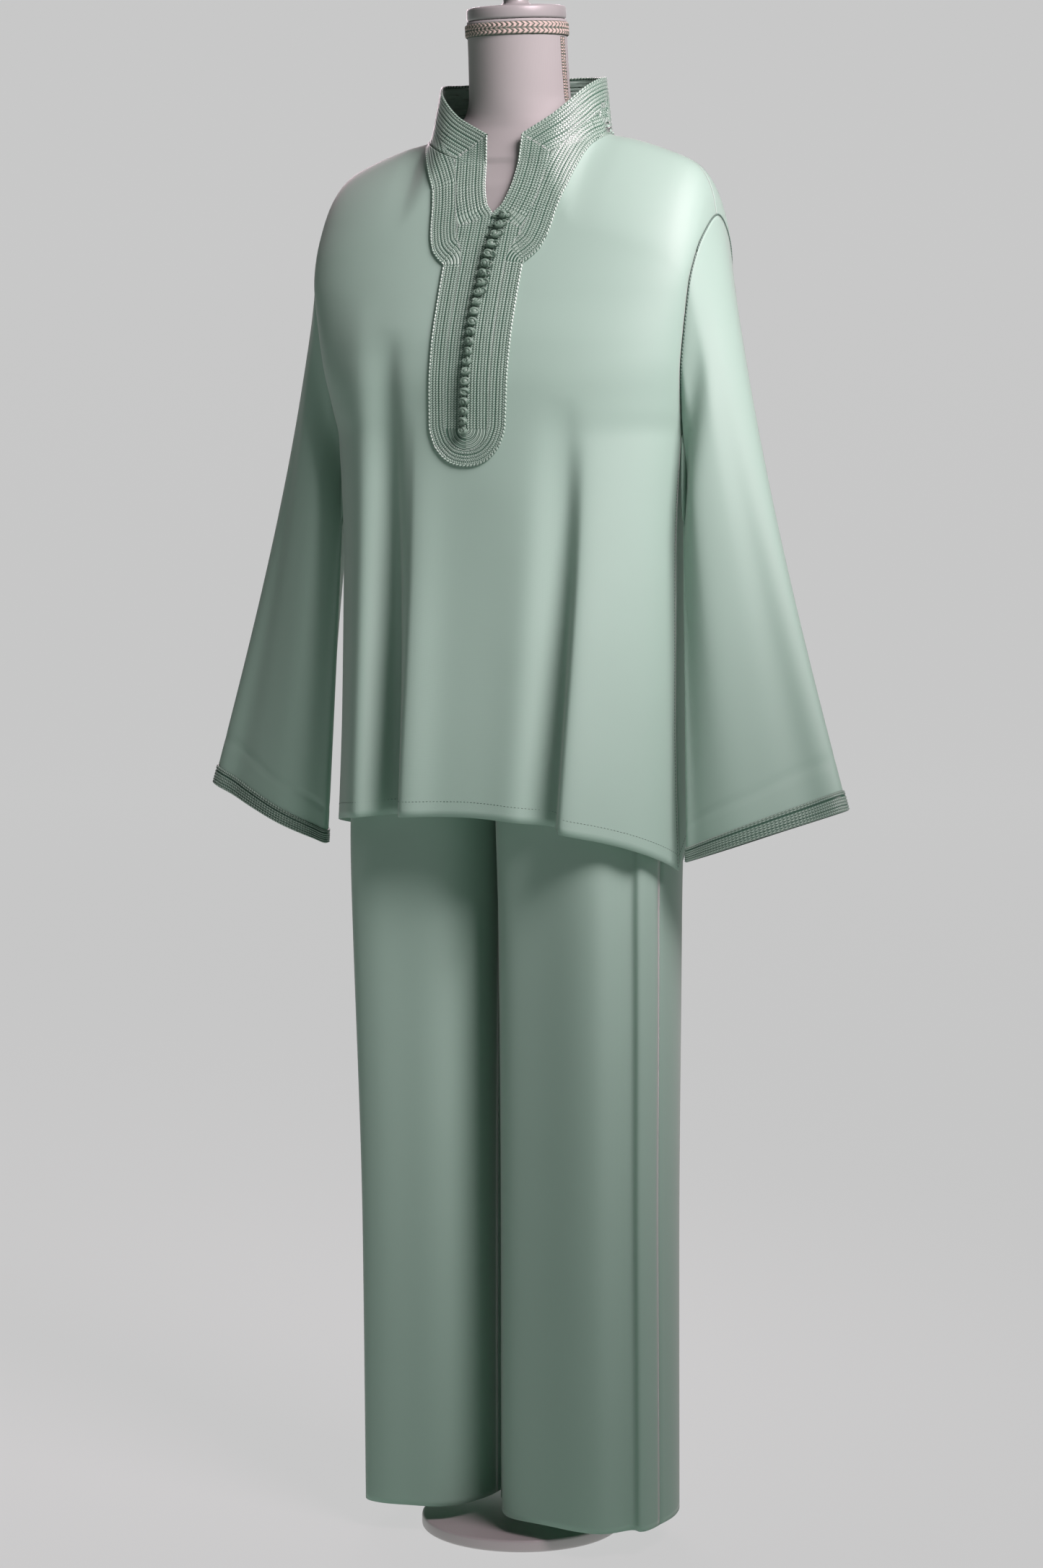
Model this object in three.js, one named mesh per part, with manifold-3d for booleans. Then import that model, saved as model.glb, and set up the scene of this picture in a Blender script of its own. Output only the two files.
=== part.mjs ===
// Jabador on a dress form: a tunic with braid trim and wide trousers, on a limbless form.
// Millimetres, +Z up. The front faces -Y and the wearer's left is +X.
// The origin is the centre of the base plate's underside.
import * as THREE from "three";
import Module from "manifold-3d";

const wasm = await Module();
wasm.setup();

const TUNIC = {
  wall: 1.5,
  seamGap: 0.3,
  armholeTop: 1310,
  underarm: 1093,
  sideSeamY: -25,
  hemFront: 722,
  hemSideLeft: 668,
  hemSideRight: 700,
  shoulderRound: 100,
  sectionPower: 2.6,
};
const SLIT = { bottom: 1310 };
const SLEEVE = { wall: 1.5, seam: 1, cuffHalfDepth: 15, hollow: 9, band: 18.5, bandWall: 1.2 };
const COLLAR = { wall: 2.6, seam: 1.3, proud: 0.6 };
const PLASTRON = { wall: 1.4, clear: 0.4, belowCollar: 2 };
const BUTTONS = { count: 23, first: 1309, last: 1098, radius: 4.6, clear: 0.3 };
const TROUSERS = { wall: 1.4, top: 971.9, hem: 28, crotchX: -22, seamGap: 0.3 };
const WAISTBAND = { low: 972.3, high: 1006, wall: 2.4, clear: 0.4 };
const FORM = { bottom: 800, neckTop: 1511, clear: 1.2, neckClear: 2.8, sides: 36, power: 2.25 };
const STAND = { poleRadius: 12.5, baseRadius: 100, baseHeight: 12, baseEdge: 3 };

// Half the tunic's width, and how far the armhole edge stands forward and back, by height.
const SIDE_LINE = [
  { z: 660, x: 185, front: -25, back: -25 },
  { z: 820, x: 181, front: -25, back: -25 },
  { z: 970, x: 181, front: -25, back: -25 },
  { z: 1093, x: 187, front: -25, back: -25 },
  { z: 1120, x: 190, front: -42, back: 8 },
  { z: 1170, x: 197, front: -56, back: 40 },
  { z: 1234, x: 206, front: -54, back: 49 },
  { z: 1275, x: 211, front: -48, back: 46 },
  { z: 1310, x: 214, front: -42, back: 42 },
  { z: 1420, x: 214, front: -42, back: 42 },
];

// How far the tunic's centre line stands out in front and behind, by height.
const BODY_DEPTH = [
  { z: 660, front: 141, back: 138 },
  { z: 770, front: 134, back: 131 },
  { z: 870, front: 126, back: 126 },
  { z: 970, front: 121, back: 117 },
  { z: 1064, front: 120, back: 105 },
  { z: 1140, front: 121, back: 102 },
  { z: 1180, front: 117, back: 102 },
  { z: 1230, front: 105, back: 101 },
  { z: 1280, front: 91, back: 96 },
  { z: 1330, front: 76, back: 86 },
  { z: 1365, front: 64, back: 74 },
  { z: 1420, front: 50, back: 60 },
];

// Height of the shoulder ridge by distance from the centre; it climbs into the neck.
const SHOULDER = [
  { x: 0, z: 1500 },
  { x: 50, z: 1470 },
  { x: 75, z: 1425 },
  { x: 98, z: 1395 },
  { x: 125, z: 1388.5 },
  { x: 170, z: 1373 },
  { x: 190, z: 1363 },
  { x: 202, z: 1350 },
  { x: 210, z: 1331 },
  { x: 214, z: 1310 },
];

const NECKLINE = [
  { x: 0, front: 1363, back: 1402 },
  { x: 22, front: 1363, back: 1402 },
  { x: 40, front: 1367, back: 1402 },
  { x: 60, front: 1375, back: 1400 },
  { x: 85, front: 1388, back: 1396 },
  { x: 98, front: 1395, back: 1395 },
];

// The slit down the front: its centre, and half its width.
const SLIT_LINE = [
  { z: 1064, centre: 0, half: 0 },
  { z: 1200, centre: 3, half: 0 },
  { z: 1310, centre: 9, half: 0 },
  { z: 1322, centre: 10, half: 9 },
  { z: 1346, centre: 11, half: 16 },
  { z: 1395, centre: 12, half: 21 },
];

// Folds that fall from the chest: the crest's x at the hem, its half width towards the
// wearer's right and left, how far it stands out, the height where it starts,
// and how far its upper end lies to the wearer's left of its foot.
const FRONT_FOLDS = [
  { x: -124, width: 24, after: 18, out: 12, from: 1240, lean: -6 },
  { x: -88, width: 18, after: 13, out: -29, from: 1200, lean: -4 },
  { x: -60, width: 9, after: 26, out: 12, from: 1120, lean: 4 },
  { x: 35, width: 40, after: 40, out: -5, from: 1040, lean: 0 },
  { x: 84, width: 20, after: 14, out: -24, from: 1130, lean: 18 },
  { x: 108, width: 10, after: 30, out: 14, from: 1090, lean: 14 },
];
const BACK_FOLDS = [
  { x: -140, width: 24, after: 24, out: 12, from: 1100, lean: -4 },
  { x: -92, width: 22, after: 22, out: -18, from: 1180, lean: -6 },
  { x: -38, width: 26, after: 26, out: 12, from: 1160, lean: -3 },
  { x: 18, width: 24, after: 24, out: -11, from: 1060, lean: 2 },
  { x: 72, width: 26, after: 26, out: 12, from: 1160, lean: 4 },
  { x: 126, width: 22, after: 22, out: -10, from: 1120, lean: 5 },
];

// Where the buttons sit across the front, by height.
const BUTTON_LINE = [
  { z: 1098, x: -1 },
  { z: 1200, x: 5 },
  { z: 1245, x: 9 },
  { z: 1280, x: 15 },
  { z: 1309, x: 24 },
];

// Half width of the plastron's outline, by height.
const PLASTRON_LINE = [
  { z: 1064, half: 5 },
  { z: 1066, half: 14 },
  { z: 1073, half: 26 },
  { z: 1086, half: 36 },
  { z: 1104, half: 41 },
  { z: 1180, half: 42.5 },
  { z: 1262, half: 43 },
  { z: 1268, half: 50 },
  { z: 1278, half: 59 },
  { z: 1296, half: 65 },
  { z: 1316, half: 68 },
  { z: 1340, half: 73 },
  { z: 1366, half: 82 },
  { z: 1382, half: 89 },
  { z: 1395, half: 99 },
];

const SLEEVE_LINE = [
  { along: 0, outX: 214, outY: 0, outZ: 1310, inX: 187, inY: -25, inZ: 1093 },
  { along: 1, outX: 353, outY: -10, outZ: 734, inX: 200, inY: -43, inZ: 680 },
];
const SLEEVE_FOLDS = [
  { turn: 0.14, width: 0.05, out: -5 },
  { turn: 0.3, width: 0.07, out: 5 },
  { turn: 0.42, width: 0.04, out: -4 },
  { turn: 0.64, width: 0.07, out: 6 },
  { turn: 0.78, width: 0.06, out: -6 },
];

// The collar's top edge, by the share of the way from the centre back to a front corner.
const COLLAR_TOP = [
  { share: 0, x: 0, y: 57, z: 1458 },
  { share: 0.25, x: 45, y: 52, z: 1457 },
  { share: 0.48, x: 79, y: 30, z: 1453 },
  { share: 0.6, x: 89, y: 3, z: 1450 },
  { share: 0.74, x: 80, y: -28, z: 1438 },
  { share: 0.87, x: 55, y: -50, z: 1413 },
  { share: 1, x: 20, y: -61, z: 1392 },
];

// Each trouser leg by height: how far out the side seam lies and how far forward,
// how deep the leg is in front and behind, where the centre or inner seam runs
// (the share of that depth left at the centre), how far it stands off the crotch line,
// and how far both side seams hang over to the wearer's left.
const TROUSER_LINE = [
  { z: 28, out: 156, seamY: -30, front: 88, back: 80, centre: 0, inset: 4, over: 10 },
  { z: 300, out: 157, seamY: -31, front: 90, back: 84, centre: 0, inset: 4, over: 8 },
  { z: 600, out: 163, seamY: -31, front: 94, back: 92, centre: 0, inset: 2, over: 3 },
  { z: 728, out: 165, seamY: -22, front: 96, back: 100, centre: 0, inset: 0, over: 0 },
  { z: 735, out: 165, seamY: -20, front: 96, back: 101, centre: 0.45, inset: 0, over: 0 },
  { z: 752, out: 165, seamY: -16, front: 97, back: 102, centre: 0.8, inset: 0, over: 0 },
  { z: 790, out: 165, seamY: -8, front: 100, back: 106, centre: 0.97, inset: 0, over: 0 },
  { z: 850, out: 164, seamY: -2, front: 104, back: 110, centre: 1, inset: 0, over: 0 },
  { z: 900, out: 158, seamY: 0, front: 102, back: 108, centre: 1, inset: 0, over: 0 },
  { z: 940, out: 143, seamY: 0, front: 96, back: 99, centre: 1, inset: 0, over: 0 },
  { z: 972, out: 125, seamY: 0, front: 86, back: 83, centre: 1, inset: 0, over: 0 },
];
const LEG_FOLDS = {
  left: {
    front: [
      { share: 0.12, width: 0.1, out: -16 },
      { share: 0.3, width: 0.09, out: 6 },
      { share: 0.5, width: 0.12, out: -5 },
      { share: 0.8, width: 0.06, out: -15 },
      { share: 0.94, width: 0.05, out: 4 },
    ],
    back: [
      { share: 0.3, width: 0.12, out: 7 },
      { share: 0.55, width: 0.1, out: -7 },
      { share: 0.78, width: 0.1, out: 5 },
    ],
  },
  right: {
    front: [
      { share: 0.24, width: 0.12, out: 4 },
      { share: 0.5, width: 0.13, out: -6 },
      { share: 0.8, width: 0.1, out: 6 },
    ],
    back: [
      { share: 0.28, width: 0.12, out: 7 },
      { share: 0.52, width: 0.1, out: -7 },
      { share: 0.76, width: 0.1, out: 5 },
    ],
  },
};

// Half widths of the form, by height. The shoulders are cut to fit under the tunic.
const FORM_LINE = [
  { z: 800, side: 138, front: 78, back: 84 },
  { z: 812, side: 144, front: 84, back: 91 },
  { z: 850, side: 147, front: 92, back: 96 },
  { z: 900, side: 141, front: 91, back: 95 },
  { z: 940, side: 128, front: 85, back: 87 },
  { z: 972, side: 118, front: 80, back: 78 },
  { z: 1006, side: 113, front: 78, back: 72 },
  { z: 1050, side: 121, front: 88, back: 76 },
  { z: 1100, side: 136, front: 104, back: 84 },
  { z: 1160, side: 148, front: 113, back: 90 },
  { z: 1210, side: 156, front: 103, back: 94 },
  { z: 1260, side: 168, front: 91, back: 94 },
  { z: 1305, side: 182, front: 78, back: 87 },
  { z: 1335, side: 190, front: 70, back: 80 },
  { z: 1352, side: 187, front: 66, back: 75 },
  { z: 1366, side: 180, front: 62, back: 70 },
  { z: 1378, side: 160, front: 58, back: 66 },
  { z: 1388, side: 125, front: 55, back: 62 },
  { z: 1395, side: 97, front: 53, back: 58 },
  { z: 1403, side: 74, front: 51, back: 54 },
  { z: 1415, side: 58, front: 50, back: 51 },
  { z: 1435, side: 51.5, front: 50, back: 50 },
  { z: 1495, side: 50, front: 50, back: 50 },
  { z: 1511, side: 50, front: 50, back: 50 },
];

// Reads a table by one column, smoothly and without overshoot.
function lookup(table, key, field, at) {
  const last = table.length - 1;
  if (at <= table[0][key]) return table[0][field];
  if (at >= table[last][key]) return table[last][field];
  let i = 0;
  while (table[i + 1][key] < at) i++;
  const step = (k) =>
    (table[k + 1][field] - table[k][field]) / (table[k + 1][key] - table[k][key]);
  const slope = (k) => {
    if (k === 0) return step(0);
    if (k === last) return step(last - 1);
    const before = step(k - 1);
    const after = step(k);
    return before * after <= 0 ? 0 : (2 * before * after) / (before + after);
  };
  const span = table[i + 1][key] - table[i][key];
  const t = (at - table[i][key]) / span;
  const near = table[i][field];
  const far = table[i + 1][field];
  return (
    near * (1 + 2 * t) * (1 - t) ** 2 +
    far * t * t * (3 - 2 * t) +
    slope(i) * span * t * (1 - t) ** 2 -
    slope(i + 1) * span * t * t * (1 - t)
  );
}

const clamp = (value, low = 0, high = 1) => Math.min(high, Math.max(low, value));
const mix = (a, b, share) => a + (b - a) * share;
const bump = (distance, width) => Math.exp(-((distance / width) ** 2));
const shares = (count) => Array.from({ length: count + 1 }, (_, i) => i / count);

// Surface of the tunic's front or back at a width x and a height z.
function tunicY(face, x, z, gap = TUNIC.seamGap) {
  const sign = face === "front" ? -1 : 1;
  const width = lookup(SIDE_LINE, "z", "x", z);
  const edge = lookup(SIDE_LINE, "z", face, z);
  const depth = sign * lookup(BODY_DEPTH, "z", face, z);
  const across = clamp(Math.abs(x) / width);
  const section = Math.sqrt(1 - across ** TUNIC.sectionPower);
  const below = clamp((lookup(SHOULDER, "x", "z", Math.abs(x)) - z) / TUNIC.shoulderRound);
  const round = Math.sqrt(1 - (1 - below) ** 2);
  let fold = 0;
  for (const f of face === "front" ? FRONT_FOLDS : BACK_FOLDS) {
    const grown = clamp((f.from - z) / (f.from - 700));
    const crest = f.x + f.lean * (1 - grown);
    const reach = x < crest ? f.width : f.after;
    fold += f.out * Math.sin((grown * Math.PI) / 2) * bump(x - crest, reach);
  }
  const calm = Math.min(1, 6 * (1 - across));
  return (edge + (depth - edge) * section) * round + sign * (fold * calm + gap / 2);
}

// Width of a column of the tunic at a height; side is -1 or +1 and share runs 0 to 1.
function tunicX(face, side, share, z) {
  const across = Math.sin((share * Math.PI) / 2) ** 0.9;
  const width = lookup(SIDE_LINE, "z", "x", z);
  if (face === "back") return side * width * across;
  const centre = lookup(SLIT_LINE, "z", "centre", z);
  const half = z > SLIT.bottom ? lookup(SLIT_LINE, "z", "half", z) : 0;
  return centre * (1 - across) + side * (half + (width - half) * across);
}

function tunicTop(face, side, share) {
  const x = Math.abs(tunicX(face, side, share, 1380));
  const centre = face === "front" ? lookup(SLIT_LINE, "z", "centre", 1380) : 0;
  const across = Math.sin((share * Math.PI) / 2) ** 0.9;
  const fromSlit = Math.abs(tunicX(face, side, share, 1380) - centre * (1 - across));
  return x < 98 ? lookup(NECKLINE, "x", face, fromSlit) : lookup(SHOULDER, "x", "z", x);
}

function tunicHem(face, side, share) {
  const low = side > 0 ? TUNIC.hemSideLeft : TUNIC.hemSideRight;
  const power = face === "front" ? 1.5 : 5;
  return TUNIC.hemFront - (TUNIC.hemFront - low) * share ** power;
}

function tunicPoint(face, side, share, down, gap) {
  const z = mix(tunicTop(face, side, share), tunicHem(face, side, share), down ** 1.8);
  const x = tunicX(face, side, share, z);
  return [x, tunicY(face, x, z, gap), z];
}

function tunicGrids(face, columns, rows, gap) {
  return [-1, 1].map((side) =>
    shares(columns).map((share) =>
      shares(rows).map((down) => tunicPoint(face, side, share, down, gap)),
    ),
  );
}

// The tunic's front and back meet along the shoulder ridge and down the side seams.
function tunicSeam(p) {
  const ridge = Math.abs(p.y) < 0.2 && Math.abs(p.x) > 97;
  const side = Math.abs(p.y - TUNIC.sideSeamY) < 0.2 && Math.abs(p.x) > 178;
  return ridge || side ? "y" : null;
}

// A closed wall from grids of points: the points move along the surface by out,
// a second skin lies a thickness inside them, and every open edge is joined.
// Where seam(point) names an axis, the wall's edge there is cut square to that axis.
function wallGeometry(grids, { thickness, out = 0, inside = upright, seam = () => null }) {
  const points = [];
  const seen = new Map();
  const indexOf = (p) => {
    const key = p.map((v) => v.toFixed(3)).join();
    if (!seen.has(key)) {
      seen.set(key, points.length);
      points.push(new THREE.Vector3(...p));
    }
    return seen.get(key);
  };
  const faces = [];
  const addFace = (a, b, c) => {
    if (a !== b && b !== c && c !== a) faces.push([a, b, c]);
  };
  for (const grid of grids) {
    const index = grid.map((column) => column.map(indexOf));
    const patch = faces.length;
    for (let i = 0; i + 1 < index.length; i++)
      for (let j = 0; j + 1 < index[i].length; j++) {
        addFace(index[i][j], index[i + 1][j], index[i + 1][j + 1]);
        addFace(index[i][j], index[i + 1][j + 1], index[i][j + 1]);
      }
    let outward = 0;
    for (const [a, b, c] of faces.slice(patch)) {
      const normal = faceNormal(points[a], points[b], points[c]);
      outward += normal.dot(points[a].clone().sub(new THREE.Vector3(...inside(points[a]))));
    }
    if (outward < 0) for (const face of faces.slice(patch)) face.reverse();
  }
  const normals = points.map(() => new THREE.Vector3());
  for (const [a, b, c] of faces) {
    const normal = faceNormal(points[a], points[b], points[c]);
    for (const i of [a, b, c]) normals[i].add(normal);
  }
  points.forEach((p, i) => {
    const axis = seam(p);
    if (axis) normals[i][axis] = 0;
    normals[i].normalize();
  });
  const outer = points.map((p, i) => p.clone().addScaledVector(normals[i], out));
  const inner = outer.map((p, i) => p.clone().addScaledVector(normals[i], -thickness));
  const count = points.length;
  const edges = new Set(faces.flatMap(([a, b, c]) => [`${a},${b}`, `${b},${c}`, `${c},${a}`]));
  const index = [];
  for (const [a, b, c] of faces) {
    index.push(a, b, c, c + count, b + count, a + count);
    for (const [from, to] of [
      [a, b],
      [b, c],
      [c, a],
    ])
      if (!edges.has(`${to},${from}`))
        index.push(to, from, from + count, to, from + count, to + count);
  }
  return new THREE.BufferGeometry().setFromPoints([...outer, ...inner]).setIndex(index);
}

const upright = (p) => [0, 0, p.z];

function faceNormal(a, b, c) {
  return b.clone().sub(a).cross(c.clone().sub(a));
}

// A closed solid through rings of points, with flat fans for its ends.
function loftGeometry(rings) {
  const count = rings[0].length;
  const points = rings.flat().map((p) => new THREE.Vector3(...p));
  const index = [];
  for (let r = 0; r + 1 < rings.length; r++)
    for (let i = 0; i < count; i++) {
      const a = r * count + i;
      const b = r * count + ((i + 1) % count);
      index.push(a, b, b + count, a, b + count, a + count);
    }
  for (const end of [0, rings.length - 1]) {
    const middle = new THREE.Vector3();
    for (let i = 0; i < count; i++) middle.addScaledVector(points[end * count + i], 1 / count);
    const tip = points.push(middle) - 1;
    for (let i = 0; i < count; i++) {
      const a = end * count + i;
      const b = end * count + ((i + 1) % count);
      index.push(...(end === 0 ? [b, a, tip] : [a, b, tip]));
    }
  }
  return new THREE.BufferGeometry().setFromPoints(points).setIndex(index);
}

// A turned solid from a profile of radius and height.
function turnedGeometry(profile, sides) {
  return loftGeometry(
    profile.map(({ r, z }) =>
      Array.from({ length: sides }, (_, i) => {
        const turn = (i * 2 * Math.PI) / sides;
        return [r * Math.cos(turn), r * Math.sin(turn), z];
      }),
    ),
  );
}

// The armhole's edge at a share of its turn: 0 at the top, then down the front.
function armholePoint(side, turn) {
  const face = turn <= 0.5 ? "front" : "back";
  const fall = (1 - Math.cos(turn * 2 * Math.PI)) / 2;
  const z = mix(TUNIC.armholeTop, TUNIC.underarm, fall);
  const x = side * lookup(SIDE_LINE, "z", "x", z);
  return [x, tunicY(face, x, z, 0), z];
}

function sleevePoint(side, turn, along) {
  const [startX, startY, startZ] = armholePoint(side, turn);
  const value = (field) => mix(SLEEVE_LINE[0][field], SLEEVE_LINE[1][field], along);
  const fall = (1 - Math.cos(turn * 2 * Math.PI)) / 2;
  const around = Math.sin(turn * 2 * Math.PI);
  const lineX = side * mix(value("outX"), value("inX"), fall);
  const lineY = mix(value("outY"), value("inY"), fall);
  const lineZ = mix(value("outZ"), value("inZ"), fall);
  const flat = -Math.sign(around) * SLEEVE.cuffHalfDepth * Math.abs(around) ** 0.7;
  const near = (1 - along) ** 1.6;
  let fold = 0;
  for (const f of SLEEVE_FOLDS) fold += f.out * bump(turn - f.turn, f.width);
  fold *= Math.sin(Math.min(1, along * 1.6) * Math.PI * 0.5) * Math.abs(around);
  const hollow = SLEEVE.hollow * Math.sin(along * Math.PI) * (1 - fall);
  const from = SLEEVE_LINE[0];
  return [
    lineX + side * (SLEEVE.seam - hollow) + (startX - side * mix(from.outX, from.inX, fall)) * near,
    lineY + (startY - mix(from.outY, from.inY, fall)) * near + flat * (1 - near) - Math.sign(around) * fold,
    lineZ + (startZ - mix(from.outZ, from.inZ, fall)) * near,
  ];
}

function sleeveGrid(side, from, to, rows) {
  return shares(24).map((turn) =>
    shares(rows).map((share) => sleevePoint(side, turn % 1, mix(from, to, share))),
  );
}

const sleeveAxis = (side) => (p) => {
  const along = clamp((1200 - p.z) / (1200 - 707));
  return [side * mix(205, 280, along), -20, p.z];
};

// The share of a column of the tunic that starts on the neckline at a distance from its middle.
function necklineShare(face, away) {
  const half = face === "front" ? lookup(SLIT_LINE, "z", "half", 1380) : 0;
  const across = clamp((away - half) / (SIDE_LINE.at(-1).x - half));
  return (Math.asin(across ** (1 / 0.9)) * 2) / Math.PI;
}

// The collar stands on the neckline: share runs -1 to 1 from corner to corner round the back.
function collarPoint(share, up) {
  const side = Math.sign(share) || 1;
  const from = Math.abs(share);
  const face = from > 0.6 ? "front" : "back";
  const half = lookup(SLIT_LINE, "z", "half", 1380);
  const reach = face === "front" ? (1 - from) / 0.4 : from / 0.6;
  const bend = Math.sin((reach * Math.PI) / 2);
  const away = face === "front" ? mix(half, 98, bend) : 98 * bend;
  const [x, y, z] = tunicPoint(face, side, necklineShare(face, away), 0, 0);
  const slant = lookup(SLIT_LINE, "z", "centre", 1392) * clamp((from - 0.6) / 0.4);
  const topX = side * lookup(COLLAR_TOP, "share", "x", from) + slant;
  const topY = lookup(COLLAR_TOP, "share", "y", from);
  const topZ = lookup(COLLAR_TOP, "share", "z", from);
  return [mix(x, topX, up), mix(y, topY, up), mix(z + COLLAR.seam, topZ, up)];
}

function collarGrid() {
  return shares(36).map((share) => shares(3).map((up) => collarPoint(share * 2 - 1, up)));
}

function collarFoot(p) {
  const low = shares(36).some((share) => {
    const [x, y, z] = collarPoint(share * 2 - 1, 0);
    return Math.hypot(p.x - x, p.y - y, p.z - z) < 0.1;
  });
  return low ? "z" : null;
}

// The plastron is the front's own surface moved out, kept within an outline seen from the front.
function plastronGeometry() {
  const edge = (side) =>
    PLASTRON_LINE.map(({ z, half }) => {
      const centre = lookup(SLIT_LINE, "z", "centre", z) * clamp((1400 - z) / 60);
      return [centre + side * half, z];
    });
  const neck = (side) =>
    shares(6).map((share) => {
      const away = mix(98, 21, share);
      const [x, , z] = tunicPoint("front", side, necklineShare("front", away), 0, 0);
      return [x, z - PLASTRON.belowCollar];
    });
  const outline = [...edge(1), ...neck(1), ...neck(-1).reverse(), ...edge(-1).reverse()];
  const shape = new wasm.CrossSection([outline]);
  const prism = shape.extrude(200).rotate([90, 0, 0]);
  const options = { out: PLASTRON.clear + PLASTRON.wall, thickness: PLASTRON.wall, seam: tunicSeam };
  const layer = solid(wallGeometry(tunicGrids("front", 13, 21), options));
  return geometryOf(layer.intersect(prism));
}

// The form's outline: turn 0 is at the wearer's left and a quarter turn is the back.
function formPoint(turn, z, out = 0) {
  const cos = Math.cos(turn * 2 * Math.PI);
  const sin = Math.sin(turn * 2 * Math.PI);
  const face = sin < 0 ? "front" : "back";
  const curve = 2 / mix(FORM.power, 2, clamp((z - 1380) / 40));
  const fitAt = (across) => TUNIC.wall + FORM.clear + FORM.neckClear * bump(across - 86, 24);
  let side = lookup(FORM_LINE, "z", "side", z);
  if (z < 1395) {
    let reach = side;
    while (lookup(SHOULDER, "x", "z", reach) < z + fitAt(reach)) reach -= 0.25;
    side = reach;
  }
  const x = side * Math.sign(cos) * Math.abs(cos) ** curve;
  let y = lookup(FORM_LINE, "z", face, z) * Math.sign(sin) * Math.abs(sin) ** curve;
  const away = Math.abs(x);
  const top = away < 98 ? lookup(NECKLINE, "x", face, away) : 1395;
  if (z > 1100 && z < top + (away > 60 ? 16 : 4)) {
    const fit = fitAt(away);
    const cloth = Math.abs(tunicY(face, x, z + fit, 0)) - fit;
    y = Math.sign(y) * Math.min(Math.abs(y), Math.max(4 * Math.abs(sin), cloth));
  }
  const lean = -0.1 * Math.max(0, z - 1400);
  const tilt = 0.08 * clamp((z - 1440) / 70) * y;
  const length = Math.hypot(cos, sin);
  return [x + (out * cos) / length, y + lean + (out * sin) / length, z + tilt];
}

const formRing = (z, out) =>
  shares(FORM.sides)
    .slice(0, -1)
    .map((turn) => formPoint(turn, z, out));

function solid(geometry) {
  return new wasm.Manifold(
    new wasm.Mesh({
      numProp: 3,
      vertProperties: Float32Array.from(geometry.attributes.position.array),
      triVerts: Uint32Array.from(geometry.index.array),
    }),
  );
}

function geometryOf(made) {
  const mesh = made.getMesh();
  return new THREE.BufferGeometry()
    .setAttribute("position", new THREE.BufferAttribute(mesh.vertProperties, 3))
    .setIndex(new THREE.BufferAttribute(mesh.triVerts, 1));
}

function formGeometry() {
  const between = [1130, 1185, 1235, 1283, 1320, 1345, 1359, 1372, 1383, 1391.5, 1465];
  const heights = [...FORM_LINE.map(({ z }) => z), ...between].sort((a, b) => a - b);
  return loftGeometry(heights.map((z) => formRing(z)));
}

function legPoint(leg, face, share, z) {
  const side = leg === "left" ? 1 : -1;
  const sign = face === "front" ? -1 : 1;
  const value = (field) => lookup(TROUSER_LINE, "z", field, z);
  const depth = value(face);
  const centre = value("centre");
  const open = 1 - centre;
  const turn = (share * Math.PI) / 2;
  const line = TROUSERS.crotchX * clamp((900 - z) / 150);
  const startX = line + side * (TROUSERS.seamGap / 2 + value("inset"));
  const reach = (1 - open) * Math.sin(turn) + (open * (1 - Math.cos(2 * turn))) / 2;
  const swell = face === "back" ? 9 * Math.sin(Math.PI * share ** 2) : 0;
  const x = mix(startX, side * value("out") + value("over"), reach) + side * swell;
  const bow = depth - (sign * value("seamY")) / 2;
  let round = depth * centre * Math.cos(turn) + bow * open * Math.sin(2 * turn) ** 0.85;
  const grown = clamp((880 - z) / 180);
  for (const f of LEG_FOLDS[leg][face]) {
    const calm = Math.min(1, 6 * (1 - share), open < 1 ? 1 : 6 * share);
    round += f.out * grown * calm * bump(share - f.share, f.width);
  }
  const gap = (sign * TROUSERS.seamGap) / 2;
  return [x, sign * round + value("seamY") * Math.sin(turn) ** 2 + gap, z];
}

function legGrid(leg, face) {
  const levels = [
    28, 120, 250, 400, 560, 680, 728, 735, 752, 790, 850, 900, 940, TROUSERS.top,
  ];
  return shares(13).map((share) => levels.map((z) => legPoint(leg, face, share, z)));
}

const finish = (color, roughness) => new THREE.MeshStandardMaterial({ color, roughness });
const CLOTH = finish("#a9c9bc", 0.55);
const BRAID = finish("#8fb5a0", 0.4);
const CANVAS = finish("#d9cfcb", 0.8);
const TRIM = finish("#cdbfa9", 0.7);
const PAINT = finish("#e2dfdd", 0.35);

const jabador = new THREE.Group();
jabador.name = "jabador";

function add(name, material, geometry) {
  const mesh = new THREE.Mesh(geometry, material);
  mesh.name = name;
  jabador.add(mesh);
  return mesh;
}

const collar = { thickness: COLLAR.wall, out: COLLAR.proud, seam: collarFoot };
const cloth = { thickness: TUNIC.wall, seam: tunicSeam };
add("tunic_front", CLOTH, wallGeometry(tunicGrids("front", 13, 21), cloth));
add("tunic_back", CLOTH, wallGeometry(tunicGrids("back", 11, 17), cloth));
for (const [name, side] of [
  ["left", 1],
  ["right", -1],
]) {
  const inside = sleeveAxis(side);
  const sleeve = { thickness: SLEEVE.wall, inside };
  add(`sleeve_${name}`, CLOTH, wallGeometry([sleeveGrid(side, 0, 1, 12)], sleeve));
  const band = { thickness: SLEEVE.bandWall, out: SLEEVE.bandWall + 0.5, inside };
  const start = 1 - SLEEVE.band / 580;
  add(`cuff_braid_${name}`, BRAID, wallGeometry([sleeveGrid(side, start, 1, 1)], band));
}
add("collar", BRAID, wallGeometry([collarGrid()], collar));
const plastron = add("plastron", BRAID, plastronGeometry());

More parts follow.
